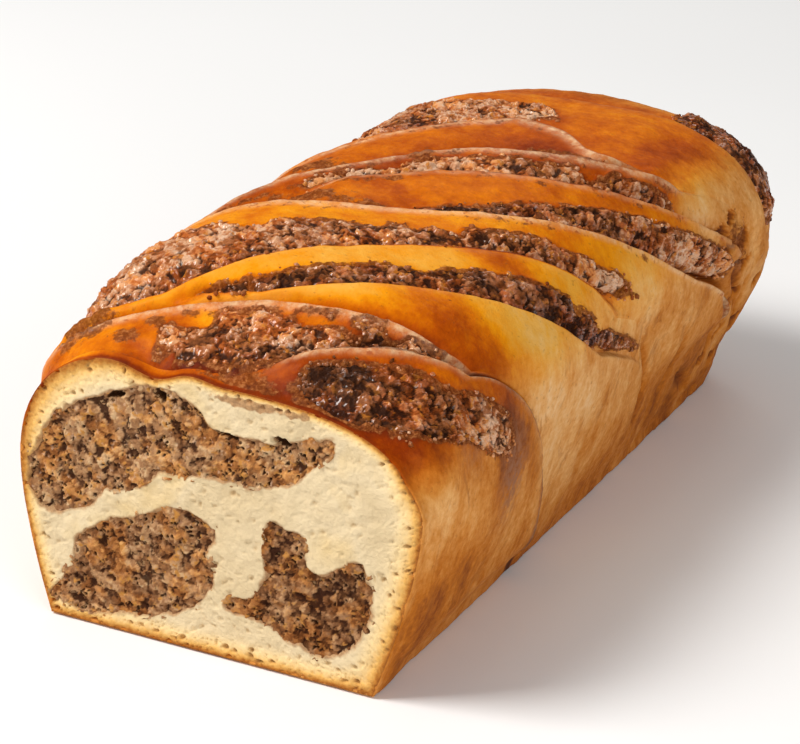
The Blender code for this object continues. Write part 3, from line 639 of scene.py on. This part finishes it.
def crustRows(look, g, row):
    # the rows follow the crests, closer together just behind each of them and at the far end
    # gives y, the band between two crests, and the distances to the crest ahead and from the one behind
    lines = np.stack([np.zeros_like(g)] + crestLines(g) + [np.full_like(g, loaf["length"])])
    firstRows = np.concatenate([[0], np.cumsum(look["rowsIn"])])
    bands = np.clip(np.searchsorted(firstRows, row + 1e-6, side="right") - 1, 0, len(look["rowsIn"]) - 1)
    part = np.clip((row - firstRows[bands]) / np.array(look["rowsIn"])[bands], 0.0, 1.0)
    column = np.arange(len(g))
    start = lines[bands, column]
    span = (lines[1:] - lines[:-1])[bands, column]
    behindCrest = np.minimum(6.0 / span, 0.36)
    beyond = behindCrest + (1.0 - behindCrest) * (part - 0.3) / 0.7
    share = np.where(part < 0.3, part / 0.3 * behindCrest, beyond)
    share = np.where(bands == len(look["rowsIn"]) - 1, 1.0 - (1.0 - part) ** 2.3, share)
    y = start + span * share
    return y, bands, start + span - y, y - start


def crustLips(look, g, bands):
    # rise of the ridge behind each point, and how strong the lips behind it and ahead of it are
    zero = np.zeros_like(g)
    lifts = np.stack([zero] + [crestLift(index, g) for index in range(len(ridges))] + [zero])
    lipOf = np.concatenate([[0.0], look["lips"]])[:, None] * np.clip(lifts / 2.5, 0.0, 1.0)
    column = np.arange(len(g))
    return lifts[bands, column], lipOf[bands, column], lipOf[bands + 1, column]


def crustFolds(look, g, y):
    folds = np.zeros_like(g)
    for fromG, fromY, toG, toY, size, depth in look["creases"]:
        way = np.array([toG - fromG, toY - fromY])
        along = np.clip(((g - fromG) * way[0] + (y - fromY) * way[1]) / (way @ way), 0.0, 1.0)
        away = np.hypot(g - fromG - along * way[0], y - fromY - along * way[1] + 1.2 * np.sin(g / 5.0))
        folds = folds + depth * bell(away / size) * np.sqrt(np.clip(4.0 * along * (1.0 - along), 0.0, 1.0))
    return folds


def crustSmear(look, g, y, spot, bands, toCrest, fromCrest, inNuts, side):
    # where crumbs of nut stick to the crust
    smear = bell(np.minimum(inNuts, 0.0) / 1.8)
    for place in look["smears"]:
        smear = np.maximum(smear, spread(g, y, *place))
    dust = np.array(look["dust"])[bands] * bell((toCrest - 3.0) / 2.0) * (1.0 - side)
    onLeft = (bands > 3) * ease((-g - 4.0) / 16.0) * ease((g + 92.0) / 20.0)
    dust = np.maximum(dust, look["grooveDust"] * bell((fromCrest - 5.0) / 2.2) * onLeft)
    return np.maximum(smear, dust + 0.25 * (dust > 0.05) * rough(spot, 9.0, 35, 2))


def makeCrust():
    look = crustLook
    rows = look["inner"] + sum(look["rowsIn"])
    piece, u, v = newSheet("crust", look["columns"], rows)
    # the first and last columns cross the base, the others go round the loaf
    column = u * look["columns"]
    aside = float(look["baseColumns"])
    g = (column - aside) / (look["columns"] - 2.0 * aside) * 2.0 * contourLength - contourLength
    under = np.clip(np.maximum(aside - column, column - (look["columns"] - aside)) / aside, 0.0, 1.0)
    g = np.clip(g, -contourLength, contourLength)
    row = v * rows - look["inner"]
    y, bands, toCrest, fromCrest = crustRows(look, g, row)

    # the form: ridges, hollows for the nuts, lips, creases and a crumpled foot
    height, share = plait(g, y, look["groove"])
    base, normal = basePoint(g, y), baseNormal(g, y)
    spot = base + normal * height[:, None]
    inNuts = np.full(len(g), -9.0)
    for strip in strips:
        inNuts = np.maximum(inNuts, nutCover(strip, g, y))
    height = height - look["recess"] * ease(inNuts / 2.4)
    lifts, lipBehind, lipAhead = crustLips(look, g, bands)
    wide = np.array(look["lipWidth"])[bands]
    lip = np.maximum(lipAhead * bell(toCrest / wide), lipBehind * bell(fromCrest / 0.9))
    folds = crustFolds(look, g, y)
    height = height + look["lipHeight"] * lip * ease((y - 3.0) / 3.0) - folds
    calm = ease(y / 3.0) * (1.0 - ease((y - loaf["length"] + 7.0) / 6.0))
    height = height + (0.25 * rough(spot, 9.0, 2) + 0.12 * rough(spot, 2.2, 4)) * calm
    height = height + 0.7 * rough(spot, 12.0, 16) * bell((fromCrest - 3.0) / 4.0) * calm * ease(-g / 20.0)
    foot = ease((34.0 - base[:, 2]) / 20.0) * ease((y - 130.0) / 70.0) * ease(base[:, 2] / 3.0)
    height = height - foot * (0.9 + 1.1 * rough(base, 11.0, 15)) * calm
    spot = base + normal * height[:, None]
    # the edge at the cut is rounded a little and goes back inside, behind the cut face
    inwards = np.clip(-row / look["inner"], 0.0, 1.0)
    spot = spot - normal * (0.25 * (y < 0.3) + 2.5 * inwards)[:, None]
    spot[:, 1] = spot[:, 1] + np.where(inwards > 0.0, 8.0 * inwards ** 2, 0.0)
    spot[:, 0] = spot[:, 0] * (1.0 - under)      # the base closes on the middle line
    spot[:, 2] = np.maximum(spot[:, 2], 3.0 * inwards)

    # how brown it is baked: by band, then the walls, the far end, patches, and painted shadows
    tone = blend(np.array(look["start"])[bands], np.array(look["crest"])[bands], ease((share - 0.15) / 0.55))
    side = ease((g - 50.0 + 12.0 * ease((y - 176.0) / 14.0)) / 20.0 + 0.12 * rough(spot, 14.0, 6))
    left = ease((-g - 52.0) / 28.0 + 0.14 * rough(spot, 14.0, 7))
    farEnd = ease((y - 238.0) / 16.0)
    tone = blend(tone, look["rightTone"] + 0.12 * rough(spot, 34.0, 8, 4), side)
    tone = blend(tone, look["leftTone"] + 0.11 * rough(spot, 34.0, 8, 4), left)
    tone = blend(tone, look["endTone"] + 0.10 * rough(spot, 28.0, 12, 4), 0.8 * farEnd)
    tone = tone + 0.12 * ease((42.0 - spot[:, 2]) / 44.0)
    for *place, change in look["patches"]:
        tone = tone + change * spread(g, y, *place)
    tone = tone + 0.14 * bell((np.minimum(inNuts, 0.0) + 0.3) / 1.2)
    # painted shade in the drop just behind each crest
    tone = tone + 0.05 * lifts * bell((fromCrest - 3.5) / 1.8) * (1.0 - side * 0.6)
    # falls that the photo doesn't show
    hidden = ease((-g - 10.0) / 24.0) * bell(fromCrest / 7.0) * (bands > 0)
    tone = blend(tone, look["hiddenTone"], 0.75 * hidden)
    firstWall = (bands == 0) * ease((g - 54.0) / 10.0) * ease((104.0 - g) / 30.0)
    tone = tone + 0.18 * bell((toCrest - 9.0) / 5.0) * firstWall
    # stronger painted shade along the edge of the first lobe on the right wall
    lobeEdgeShade = (bands == 1) * ease((g - 50.0) / 12.0)
    tone = tone + 0.50 * bell((fromCrest - 0.8) / 1.9) * lobeEdgeShade
    # painted shade in the creases
    tone = tone + 0.16 * folds
    # the pale colour of a lip, partly the paler dough of the crest and partly a painted highlight along it,
    # is broader than its form
    lip = lipAhead * bell(np.maximum(toCrest - 0.3 * wide, 0.0) / wide)
    lip = np.maximum(lip, 0.5 * lipBehind * bell(fromCrest))
    lip = lip * ease((y - 3.0) / 3.0) * (1.0 - 0.8 * hidden)

    # single crumbs of nut in the smears, and small holes
    smear = crustSmear(look, g, y, spot, bands, toCrest, fromCrest, inNuts, side)
    grain, grainChance, _ = crumbs(spot, 1.9, 33)
    raised = dome(grain, 0.7) * (grainChance > 0.45) * ease((smear - 0.35) / 0.4) * ease((y - 0.8) / 2.0)
    spot = spot + normal * (look["grainHeight"] * raised)[:, None]
    ragged = rough(spot, 2.6, 61, 3)
    for pitG, pitY, size in look["pits"]:
        away = ((g - pitG + 1.5 * ragged) / size) ** 2 + ((y - pitY - 2.2 * ragged) / (1.5 * size)) ** 2
        # the holes are painted darker, as shade in them
        tone = tone + look["pitShadeTone"] * bell(away)
        spot = spot - normal * (look["pitDepth"] * bell(away))[:, None]
    film = sum(strength * spread(g, y, *place) for *place, strength in look["filmsAndShadow"])

    shapeSheet(piece, spot)
    noteOn(piece, "smear", smear * ease((y - 0.5) / 1.5))
    noteOn(piece, "film", np.clip(1.4 * film, 0.0, 1.0))
    noteOn(piece, "tone", np.clip(tone, 0.02, 1.0))
    noteOn(piece, "lip", lip)
    noteOn(piece, "gloss", np.clip(1.0 - np.maximum(np.maximum(side, left) * 0.95, 0.85 * farEnd), 0.0, 1.0))
    closeSheet(piece, True)
    finishPiece(piece, "dough", crustPaint())


# the cut face

def cutContour(count):
    # the edge of the cut, closed along the base, starting at the middle of the base
    g = np.linspace(-contourLength, contourLength, count)
    zero = np.zeros_like(g)
    height, _ = plait(g, zero)
    edge = basePoint(g, zero) + baseNormal(g, zero) * height[:, None]
    edge = edge[:, [0, 2]]
    right = np.linspace(edge[-1], (0.0, 0.0), 60)[1:]
    left = np.linspace((0.0, 0.0), edge[0], 60)[:-1]
    right[:, 1] = left[:, 1] = 0.0
    return np.concatenate([left, edge, right])


def alongClosed(loop, share):
    # points of a closed line at these shares of its length
    closed = np.concatenate([loop, loop[:1]])
    way = np.concatenate([[0.0], np.cumsum(np.linalg.norm(np.diff(closed, axis=0), axis=1))])
    place = (share % 1.0) * way[-1]
    return np.stack([np.interp(place, way, closed[:, 0]), np.interp(place, way, closed[:, 1])], axis=-1)


def smoothOutline(corners, count):
    corners = np.array(corners)
    number = len(corners)
    position = np.linspace(0.0, number, count, endpoint=False)
    index = position.astype(int)
    along = (position - index)[:, None]
    before, first = corners[(index - 1) % number], corners[index % number]
    second, after = corners[(index + 1) % number], corners[(index + 2) % number]
    curve = 2.0 * first + (second - before) * along
    curve = curve + (2.0 * before - 5.0 * first + 4.0 * second - after) * along ** 2
    return 0.5 * (curve + (3.0 * first - before - 3.0 * second + after) * along ** 3)


def ringsOf(u, v):
    # turns a square sheet into rings: how far out a point is, and its share of the way round
    x, y = 2.0 * u - 1.0, 2.0 * v - 1.0
    out = np.maximum(np.abs(x), np.abs(y))
    safe = np.maximum(out, 1e-9)
    a, b = x / safe, y / safe
    onSide = 0.9999999
    way = np.where(b >= onSide, 0.5 + (1.0 - a) / 8.0, 0.75 + (1.0 - b) / 8.0)
    way = np.where(a >= onSide, 0.25 + (b + 1.0) / 8.0, way)
    way = np.where(b <= -onSide, (a + 1.0) / 8.0, way)
    return out, way


def nearestOn(loop, points):
    # distance from a closed line, negative inside it, and the nearest point on it
    following = np.roll(loop, -1, axis=0)
    best = np.full(len(points), 1e9)
    nearest = np.zeros_like(points)
    inside = np.zeros(len(points), dtype=bool)
    for a, b in zip(loop, following):
        way = b - a
        part = np.clip(((points - a) @ way) / (way @ way), 0.0, 1.0)
        there = a + part[:, None] * way
        away = np.linalg.norm(points - there, axis=1)
        nearest = np.where((away < best)[:, None], there, nearest)
        best = np.minimum(best, away)
        crosses = ((a[1] > points[:, 1]) != (b[1] > points[:, 1]))
        crossing = a[0] + (points[:, 1] - a[1]) / (way[1] if way[1] else 1e-9) * way[0]
        inside = inside ^ (crosses & (points[:, 0] < crossing))
    return np.where(inside, -best, best), nearest


crumbLook = dict(
    cells=300, pores=0.9, centre=(0.0, 36.0),
    recess=1.5, gap=3.4,                  # sinking at the filling, depth of the gaps under the flap
    skirt=0.985, back=5.0, drawIn=0.12,   # rim of the sheet that goes back inside the crust
)


def slitAt(face, flat, x, z, length, tall, slope):
    # 1 inside a ragged slit on the cut, 0 outside it
    across, up = face[:, 0] - x, face[:, 1] - z - slope * (face[:, 0] - x)
    away = np.hypot(across / length, (up + 0.55 * rough(flat, 2.4, 9)) / tall)
    return ease((1.0 + 0.40 * rough(flat, 1.6, 19, 2) - away) / 0.5)


def makeCrumb():
    look = crumbLook
    piece, u, v = newSheet("crumb", look["cells"], look["cells"])
    out, way = ringsOf(u, v)
    edge = cutContour(900)
    rim = alongClosed(edge, way)
    centre = np.array(look["centre"])
    face = centre + (rim - centre) * np.minimum(out / look["skirt"], 1.0)[:, None]
    toEdge = -nearestOn(edge[::6], face)[0]
    flat = np.stack([face[:, 0], np.zeros(len(face)), face[:, 1]], axis=-1)
    wander = 0.9 * rough(flat, 5.0, 21, 4)
    nearest = np.full(len(face), 99.0)
    for core in cores:
        away, _ = nearestOn(smoothOutline(core["outline"], 90), face)
        nearest = np.minimum(nearest, away + wander)
    big, bigChance, _ = crumbs(flat + 0.6 * rough(flat, 3.0, 5)[:, None], 2.3, 31, (1.25, 1.0, 0.9))
    small, smallChance, _ = crumbs(flat, 1.05, 41)
    bigPore = ease((0.42 - big) / 0.25) * (bigChance > 0.5)
    smallPore = ease((0.46 - small) / 0.3) * (smallChance > 0.35)
    # the band of crust is wide on the left and at the bottom, thin along the top
    x, z = face.T
    width = 2.8 + 3.6 * ease((-x - 14.0) / 30.0) * ease((z - 26.0) / 16.0)
    width = width - 1.2 * ease((z - 55.0) / 12.0) * (x > -16.0)
    width = width + 0.8 * ease((14.0 - z) / 10.0) + 2.0 * ease((x - 34.0) / 8.0) * ease((62.0 - z) / 16.0)
    depth = look["pores"] * (bigPore * (0.4 + bigChance) + 0.40 * smallPore)
    depth = depth * (0.40 + 0.60 * ease((width * 2.0 - toEdge) / width)) + 0.35 * rough(flat, 4.0, 51, 4)
    depth = np.maximum(depth, -0.25) * ease(toEdge / 0.6)
    sunk = look["recess"] * ease((0.4 - nearest) / 1.6)
    gap = np.zeros(len(face))
    for slit in coreLook["pits"]:
        gap = np.maximum(gap, slitAt(face, flat, *slit))
    sunk = sunk + look["gap"] * gap
    behind = ease((out - look["skirt"]) / (1.0 - look["skirt"]))
    drawn = centre + (face - centre) * (1.0 - look["drawIn"] * behind)[:, None]
    spot = np.stack([drawn[:, 0], depth + sunk + look["back"] * behind, drawn[:, 1]], axis=-1)
    shapeSheet(piece, spot)
    noteOn(piece, "rim", np.exp(-((toEdge - 0.3) / width).clip(0.0, 9.0) ** 1.3))
    noteOn(piece, "depth", np.clip(depth / look["pores"], 0.0, 1.2))
    # a brown streak under the crust at the top
    streak = np.hypot((x - 11.0) / 9.5, (z - 68.2 + 0.25 * rough(flat, 4.0, 23)) / 1.2)
    streak = ease((1.5 + 0.5 * rough(flat, 2.2, 25) - streak) / 0.7)
    # brown where the filling bleeds into the crumb, and painted shade in the gaps under the flap
    stain = np.maximum(ease((1.7 - nearest) / 2.5), gap * 1.3)
    noteOn(piece, "stain", np.maximum(stain, 0.95 * streak))
    closeSheet(piece, True)
    finishPiece(piece, "", crumbPaint())


coreLook = dict(
    grain=0.36, border=4.0, beyond=1.2,       # mesh size, margin round the outline, and how much of it stays
    fromEnd=30.0, turnsAt=16.0,               # how far before the baked end it stops, where it has narrowed
    stops=((0.05, (0.075, 0.028, 0.010)), (0.30, (0.20, 0.085, 0.034)), (0.52, (0.33, 0.165, 0.074)),
           (0.75, (0.49, 0.275, 0.130)), (0.95, (0.62, 0.40, 0.21))),
    orange=(0.50, 0.22, 0.045), warm=(1.08, 0.84, 0.52), wet=0.08,
    # gaps under the top flap, painted dark as shade: x, z, length, height, slope
    pits=((-28.2, 62.6, 4.0, 0.8, 0.36), (-15.6, 65.0, 2.0, 1.9, -0.2), (3.0, 58.9, 3.2, 0.6, -0.12),
          (17.0, 60.9, 3.6, 1.3, 0.05)),
)


def makeCores():
    look = coreLook
    paint = fillingPaint("nutPaste", look)
    for core in cores:
        outline = smoothOutline(core["outline"], 160)
        low, high = outline.min(axis=0) - look["border"], outline.max(axis=0) + look["border"]
        across, along = (int(size / look["grain"]) for size in high - low)
        piece, u, v = newSheet(core["name"] + "_nuts", across, along)
        face = low + np.stack([u, v], axis=-1) * (high - low)
        # what lies outside the outline is drawn in to it and runs back along the loaf
        away, nearest = nearestOn(outline, face)
        beyond = np.maximum(away - look["beyond"], 0.0)
        kept = np.minimum(1.0, look["beyond"] / np.maximum(away, 0.01))[:, None]
        face = np.where((away > 0.0)[:, None], nearest + (face - nearest) * kept, face)
        flat = np.stack([face[:, 0], np.zeros(len(face)), face[:, 1]], axis=-1)
        warped = warp(flat)
        big, bigChance, bigSlant = crumbs(warped, 2.5, core["seed"] * 20 + 1)
        small, smallChance, smallSlant = crumbs(warped, 1.1, core["seed"] * 20 + 9)
        lump = 0.9 * dome(big, 0.85) * (0.2 + 0.8 * bigChance) + 0.5 * bigSlant
        lump = lump + 0.5 * dome(small, 0.8) * (0.2 + 0.8 * smallChance) + 0.3 * smallSlant
        loose = ease((rough(flat, 7.0, 77, 2) + 0.5) / 0.6)
        holes = ease((0.48 - small) / 0.2) * (smallChance > 0.74) * loose
        for slit in look["pits"]:
            holes = np.maximum(holes, 1.6 * slitAt(face, flat, *slit))
        y = 0.9 - lump * (0.75 + 0.35 * rough(flat, 6.0, 62, 2)) + 1.5 * holes
        y = y + 0.35 * rough(flat, 5.0, 61) - 0.2 * rough(flat, 1.0, 63, 2)
        stop = loaf["length"] - look["fromEnd"]
        out, _ = ringsOf(u, v)
        ring = np.round((1.0 - out) * 0.5 * min(across, along))      # counted from the border of the sheet
        y = np.where(beyond > 0.0, y + np.minimum(beyond, 3.0) * 1.6, y)
        y = np.where(ring < 2.5, look["turnsAt"], y)
        y = np.where(ring < 1.5, stop - 14.0, y)
        y = np.where(ring < 0.5, stop, y)
        size = np.where(ring < 2.5, core["shrink"], 1.0)
        size = np.where(ring < 0.5, core["shrink"] * 0.5, size)
        middle = outline.mean(axis=0)
        x = middle[0] + (face[:, 0] - middle[0]) * size
        z = np.where(ring < 2.5, core["low"] + (face[:, 1] - core["low"]) * size, face[:, 1])
        shapeSheet(piece, np.stack([x, y, z], axis=-1))
        noteOn(piece, "pit", np.clip(0.95 - lump / 0.60, 0.0, 1.0) + 1.3 * holes)
        noteOn(piece, "chance", 0.5 * bigChance + 0.5 * smallChance)
        noteOn(piece, "light", np.full(len(face), core["light"]))
        closeSheet(piece, True)
        finishPiece(piece, core["name"], paint)


# the strips of baked nuts

stripLook = dict(
    grain=0.32, overlap=1.0, sink=2.6, chunk=2.7, crumb=1.1,     # mesh size, margin, depth of edge, nuts
    groove=0.3, belowRows=7.0,           # depth of the groove it lies in, rows of the mesh under it
    stops=((0.0, (0.030, 0.009, 0.003)), (0.22, (0.110, 0.032, 0.008)), (0.42, (0.25, 0.076, 0.020)),
           (0.62, (0.43, 0.152, 0.054)), (0.90, (0.70, 0.40, 0.23))),
    orange=(0.56, 0.185, 0.016), warm=(1.04, 0.72, 0.36), wet=0.9,
)


def makeStrips():
    look = stripLook
    paint = fillingPaint("bakedNuts", look)
    for strip in strips:
        test = np.linspace(strip["start"] - look["overlap"], strip["stop"] + look["overlap"], 200)
        near, far = stripEdges(strip, np.clip(test, strip["start"], strip["stop"]))
        width = float(np.max(far - near)) * 1.05
        way = np.concatenate([[0.0], np.cumsum(np.hypot(np.diff(test), 0.8 * np.diff(0.5 * (near + far))))])
        across = int(way[-1] / look["grain"])
        along = int(width / look["grain"]) + 8
        piece, u, v = newSheet(strip["name"] + "_nuts", across, along)
        g = np.interp(u * way[-1], way, test)
        topShare = 1.0 - look["belowRows"] / along
        onTop = v <= topShare
        w = np.where(onTop, v / topShare, (1.0 - v) / (1.0 - topShare))
        near, far = stripEdges(strip, np.clip(g, strip["start"], strip["stop"]))
        y = near - look["overlap"] + (far - near + 2.0 * look["overlap"]) * w
        height, _ = plait(g, y, look["groove"])
        base, normal = basePoint(g, y), baseNormal(g, y)
        spot = base + normal * height[:, None]
        inside = nutCover(strip, g, y)
        warped = warp(spot)
        big, bigChance, bigSlant = crumbs(warped, look["chunk"], strip["seed"] * 20)
        small, smallChance, smallSlant = crumbs(warped, look["crumb"], strip["seed"] * 20 + 8)
        lump = 1.30 * dome(big, 0.78) * (0.15 + 0.85 * bigChance) + 0.8 * bigSlant
        lump = lump + 0.70 * dome(small, 0.74) * (0.1 + 0.9 * smallChance)
        lump = lump + 0.45 * smallSlant + 0.15 * rough(spot, 0.9, 91, 2)
        smooth = np.clip(0.75 + 0.6 * rough(spot, 5.0, 73, 2), 0.30, 1.0)      # the paste hides some nuts
        lump = lump * smooth + 0.45 * (1.0 - smooth)
        lift = strip["proud"] - 0.7 + lump + 0.5 * rough(spot, 8.0, 71)
        lift = lift * ease((inside + 0.6) / 2.6) - look["sink"] * (1.0 - ease((inside + 0.9) / 1.3))
        ends = ease(u * 30.0) * ease((1.0 - u) * 30.0)
        lift = np.where(onTop, lift * ends - 2.6 * (1.0 - ends), -3.4 * ends - 2.6 * (1.0 - ends))
        spot = base + normal * (height + lift)[:, None]
        for which in (u < 1e-6, u > 1.0 - 1e-6):
            spot[which] = spot[which].mean(axis=0)
        shapeSheet(piece, spot)
        noteOn(piece, "pit", np.clip(1.0 - lump / 0.65, 0.0, 1.2) * onTop)
        noteOn(piece, "chance", 0.5 * bigChance + 0.5 * smallChance)
        drift = 0.20 * rough(spot, 6.0, 81, 2) + 0.12 * rough(spot, 15.0, 83, 2)
        # painted shade under the crest before each strip
        shade = 0.16 * (1.0 - ease(w / 0.35)) * onTop      # darker under the crest before it
        paler = 0.28 * ease((u - 0.82) / 0.12)      # at the right tip
        noteOn(piece, "light", blend(strip["light"][0], strip["light"][1], u) + drift + paler - shade)
        closeSheet(piece, True)
        finishPiece(piece, strip["name"], paint)


# loose crumbs of nut round the strips

looseLook = dict(count=110, reach=3.0, seed=41)      # how many to 70 mm of strip, how far out in mm


def makeLooseNuts():
    look = looseLook
    pickNothing()
    bpy.ops.mesh.primitive_ico_sphere_add(subdivisions=1, radius=1.0, location=(0.0, 0.0, 0.0))
    piece = bpy.context.object
    piece.name = piece.data.name = "loose_nuts"
    ball = np.array([vertex.co[:] for vertex in piece.data.vertices])
    faces = np.array([polygon.vertices[:] for polygon in piece.data.polygons])
    chance = np.random.default_rng(look["seed"])
    spots, lights = [], []
    for strip in strips:
        g = chance.uniform(strip["start"] - 2.0, strip["stop"] + 2.0, 6000)
        near, far = stripEdges(strip, g)
        y = near - look["reach"] + (far - near + 2.0 * look["reach"]) * chance.uniform(0.0, 1.0, len(g))
        cover = nutCover(strip, g, y)
        farthest = -look["reach"] * chance.uniform(0.0, 1.0, len(g)) ** 2
        fits = np.flatnonzero((y > 4.0) & (cover < 0.8) & (cover > farthest))
        fits = fits[:int(look["count"] * (strip["stop"] - strip["start"]) / 70.0)]
        spots.append(np.stack([g[fits], y[fits]]))
        along = (g[fits] - strip["start"]) / (strip["stop"] - strip["start"])
        lights.append(blend(strip["light"][0], strip["light"][1], along) * 0.85 + 0.14)
    spots = np.concatenate(spots, axis=1)
    lights = np.concatenate(lights)
    g, y = spots
    height, _ = plait(g, y, crustLook["groove"])
    normal = baseNormal(g, y)
    centre = basePoint(g, y) + normal * height[:, None]
    size = chance.uniform(0.3, 0.85, (len(g), 1)) * chance.uniform(0.7, 1.3, (len(g), 3))
    turns = np.linalg.qr(chance.normal(size=(len(g), 3, 3)))[0]
    uneven = 1.0 + chance.uniform(-0.30, 0.25, (len(g), len(ball)))
    lumps = ball[None] * size[:, None, :] * uneven[:, :, None]
    points = np.einsum("nij,nvj->nvi", turns, lumps) + centre[:, None, :]
    faces = (faces[None] + len(ball) * np.arange(len(g))[:, None, None]).reshape(-1, 3)
    piece.data.clear_geometry()
    piece.data.from_pydata(points.reshape(-1, 3).tolist(), [], faces.tolist())
    shapeSheet(piece, points.reshape(-1, 3))
    # a little of the same darkening for each loose crumb, at random
    noteOn(piece, "pit", np.repeat(chance.uniform(0.0, 0.25, len(g)), len(ball)))
    noteOn(piece, "chance", np.repeat(chance.uniform(0.3, 0.8, len(g)), len(ball)))
    noteOn(piece, "light", np.repeat(lights, len(ball)))
    pickNothing()
    piece.select_set(True)
    bpy.context.view_layer.objects.active = piece
    bpy.ops.object.shade_smooth()
    finishPiece(piece, "", fillingPaint("looseNuts", stripLook))


# floor, lights and camera

def makeStage():
    pickNothing()
    bpy.ops.mesh.primitive_plane_add(size=8.0, location=(0.0, 0.0, -0.0005))
    floor = bpy.context.object
    floor.name = "floor"
    paint = Paint("floorPaint", Roughness=0.9, Specular_IOR_Level=0.1)
    greys = (0.3, (0.86, 0.86, 0.86)), (0.7, (0.89, 0.89, 0.89))
    paint.feed("Base Color", paint.ramp(paint.noise(400.0, 2.0), *greys))
    floor.data.materials.append(paint.material)


def addLight(name, place, aim, size, power, colour):
    pickNothing()
    bpy.ops.object.light_add(type="AREA", location=place)
    light = bpy.context.object
    light.name = name
    light.data.shape = "RECTANGLE"
    light.data.size, light.data.size_y = size
    light.data.energy = power
    light.data.color = colour
    light.rotation_euler = (Vector(aim) - Vector(place)).to_track_quat("-Z", "Y").to_euler()


studioLights = [
    dict(name="keyLight", place=(-0.9, -0.7, 1.3), aim=(0.0, 0.0, 0.03),
         size=(0.8, 0.8), power=30.0, colour=(1.0, 0.98, 0.95)),
    dict(name="backLight", place=(-0.3, 1.2, 1.2), aim=(0.0, 0.0, 0.05),
         size=(0.7, 0.4), power=3.0, colour=(1.0, 0.99, 0.97)),
    dict(name="fillLight", place=(1.2, -1.0, 0.6), aim=(0.0, -0.05, 0.03),
         size=(0.9, 0.9), power=9.5, colour=(1.0, 0.98, 0.96)),
]


def makeLights():
    for light in studioLights:
        addLight(**light)
    world = bpy.data.worlds.new("studio")
    bpy.context.scene.world = world
    world.use_nodes = True
    world.node_tree.nodes["Background"].inputs["Color"].default_value = (1.0, 1.0, 1.0, 1.0)
    world.node_tree.nodes["Background"].inputs["Strength"].default_value = 0.30
    bpy.context.scene.view_settings.view_transform = "Standard"


camera = dict(azimuth=23.59, elevation=21.66, roll=3.36, place=(304.1, -588.6, 340.1), lens=135.0)


def makeCamera():
    a, e, roll = (math.radians(camera[key]) for key in ("azimuth", "elevation", "roll"))
    back = Vector((math.sin(a) * math.cos(e), -math.cos(a) * math.cos(e), math.sin(e)))
    right = Vector((math.cos(a), math.sin(a), 0.0))
    up = back.cross(right)
    x = right * math.cos(roll) + up * math.sin(roll)
    y = up * math.cos(roll) - right * math.sin(roll)
    bpy.ops.object.camera_add()
    item = bpy.context.object
    item.name = "photoCamera"
    turned = Matrix((x, y, back)).transposed().to_4x4()
    px, py, pz = camera["place"]
    turned.translation = Vector((px - loaf["middleX"], py - loaf["middleY"], pz)) * mm
    item.matrix_world = turned
    item.data.lens = camera["lens"]
    item.data.sensor_width = 36.0
    item.data.clip_start = 0.01
    bpy.context.scene.camera = item
    print("floor, lights and camera set")


makeCrust()
makeCrumb()
makeCores()
makeStrips()
makeLooseNuts()
makeStage()
makeLights()
makeCamera()
print("all pieces made")
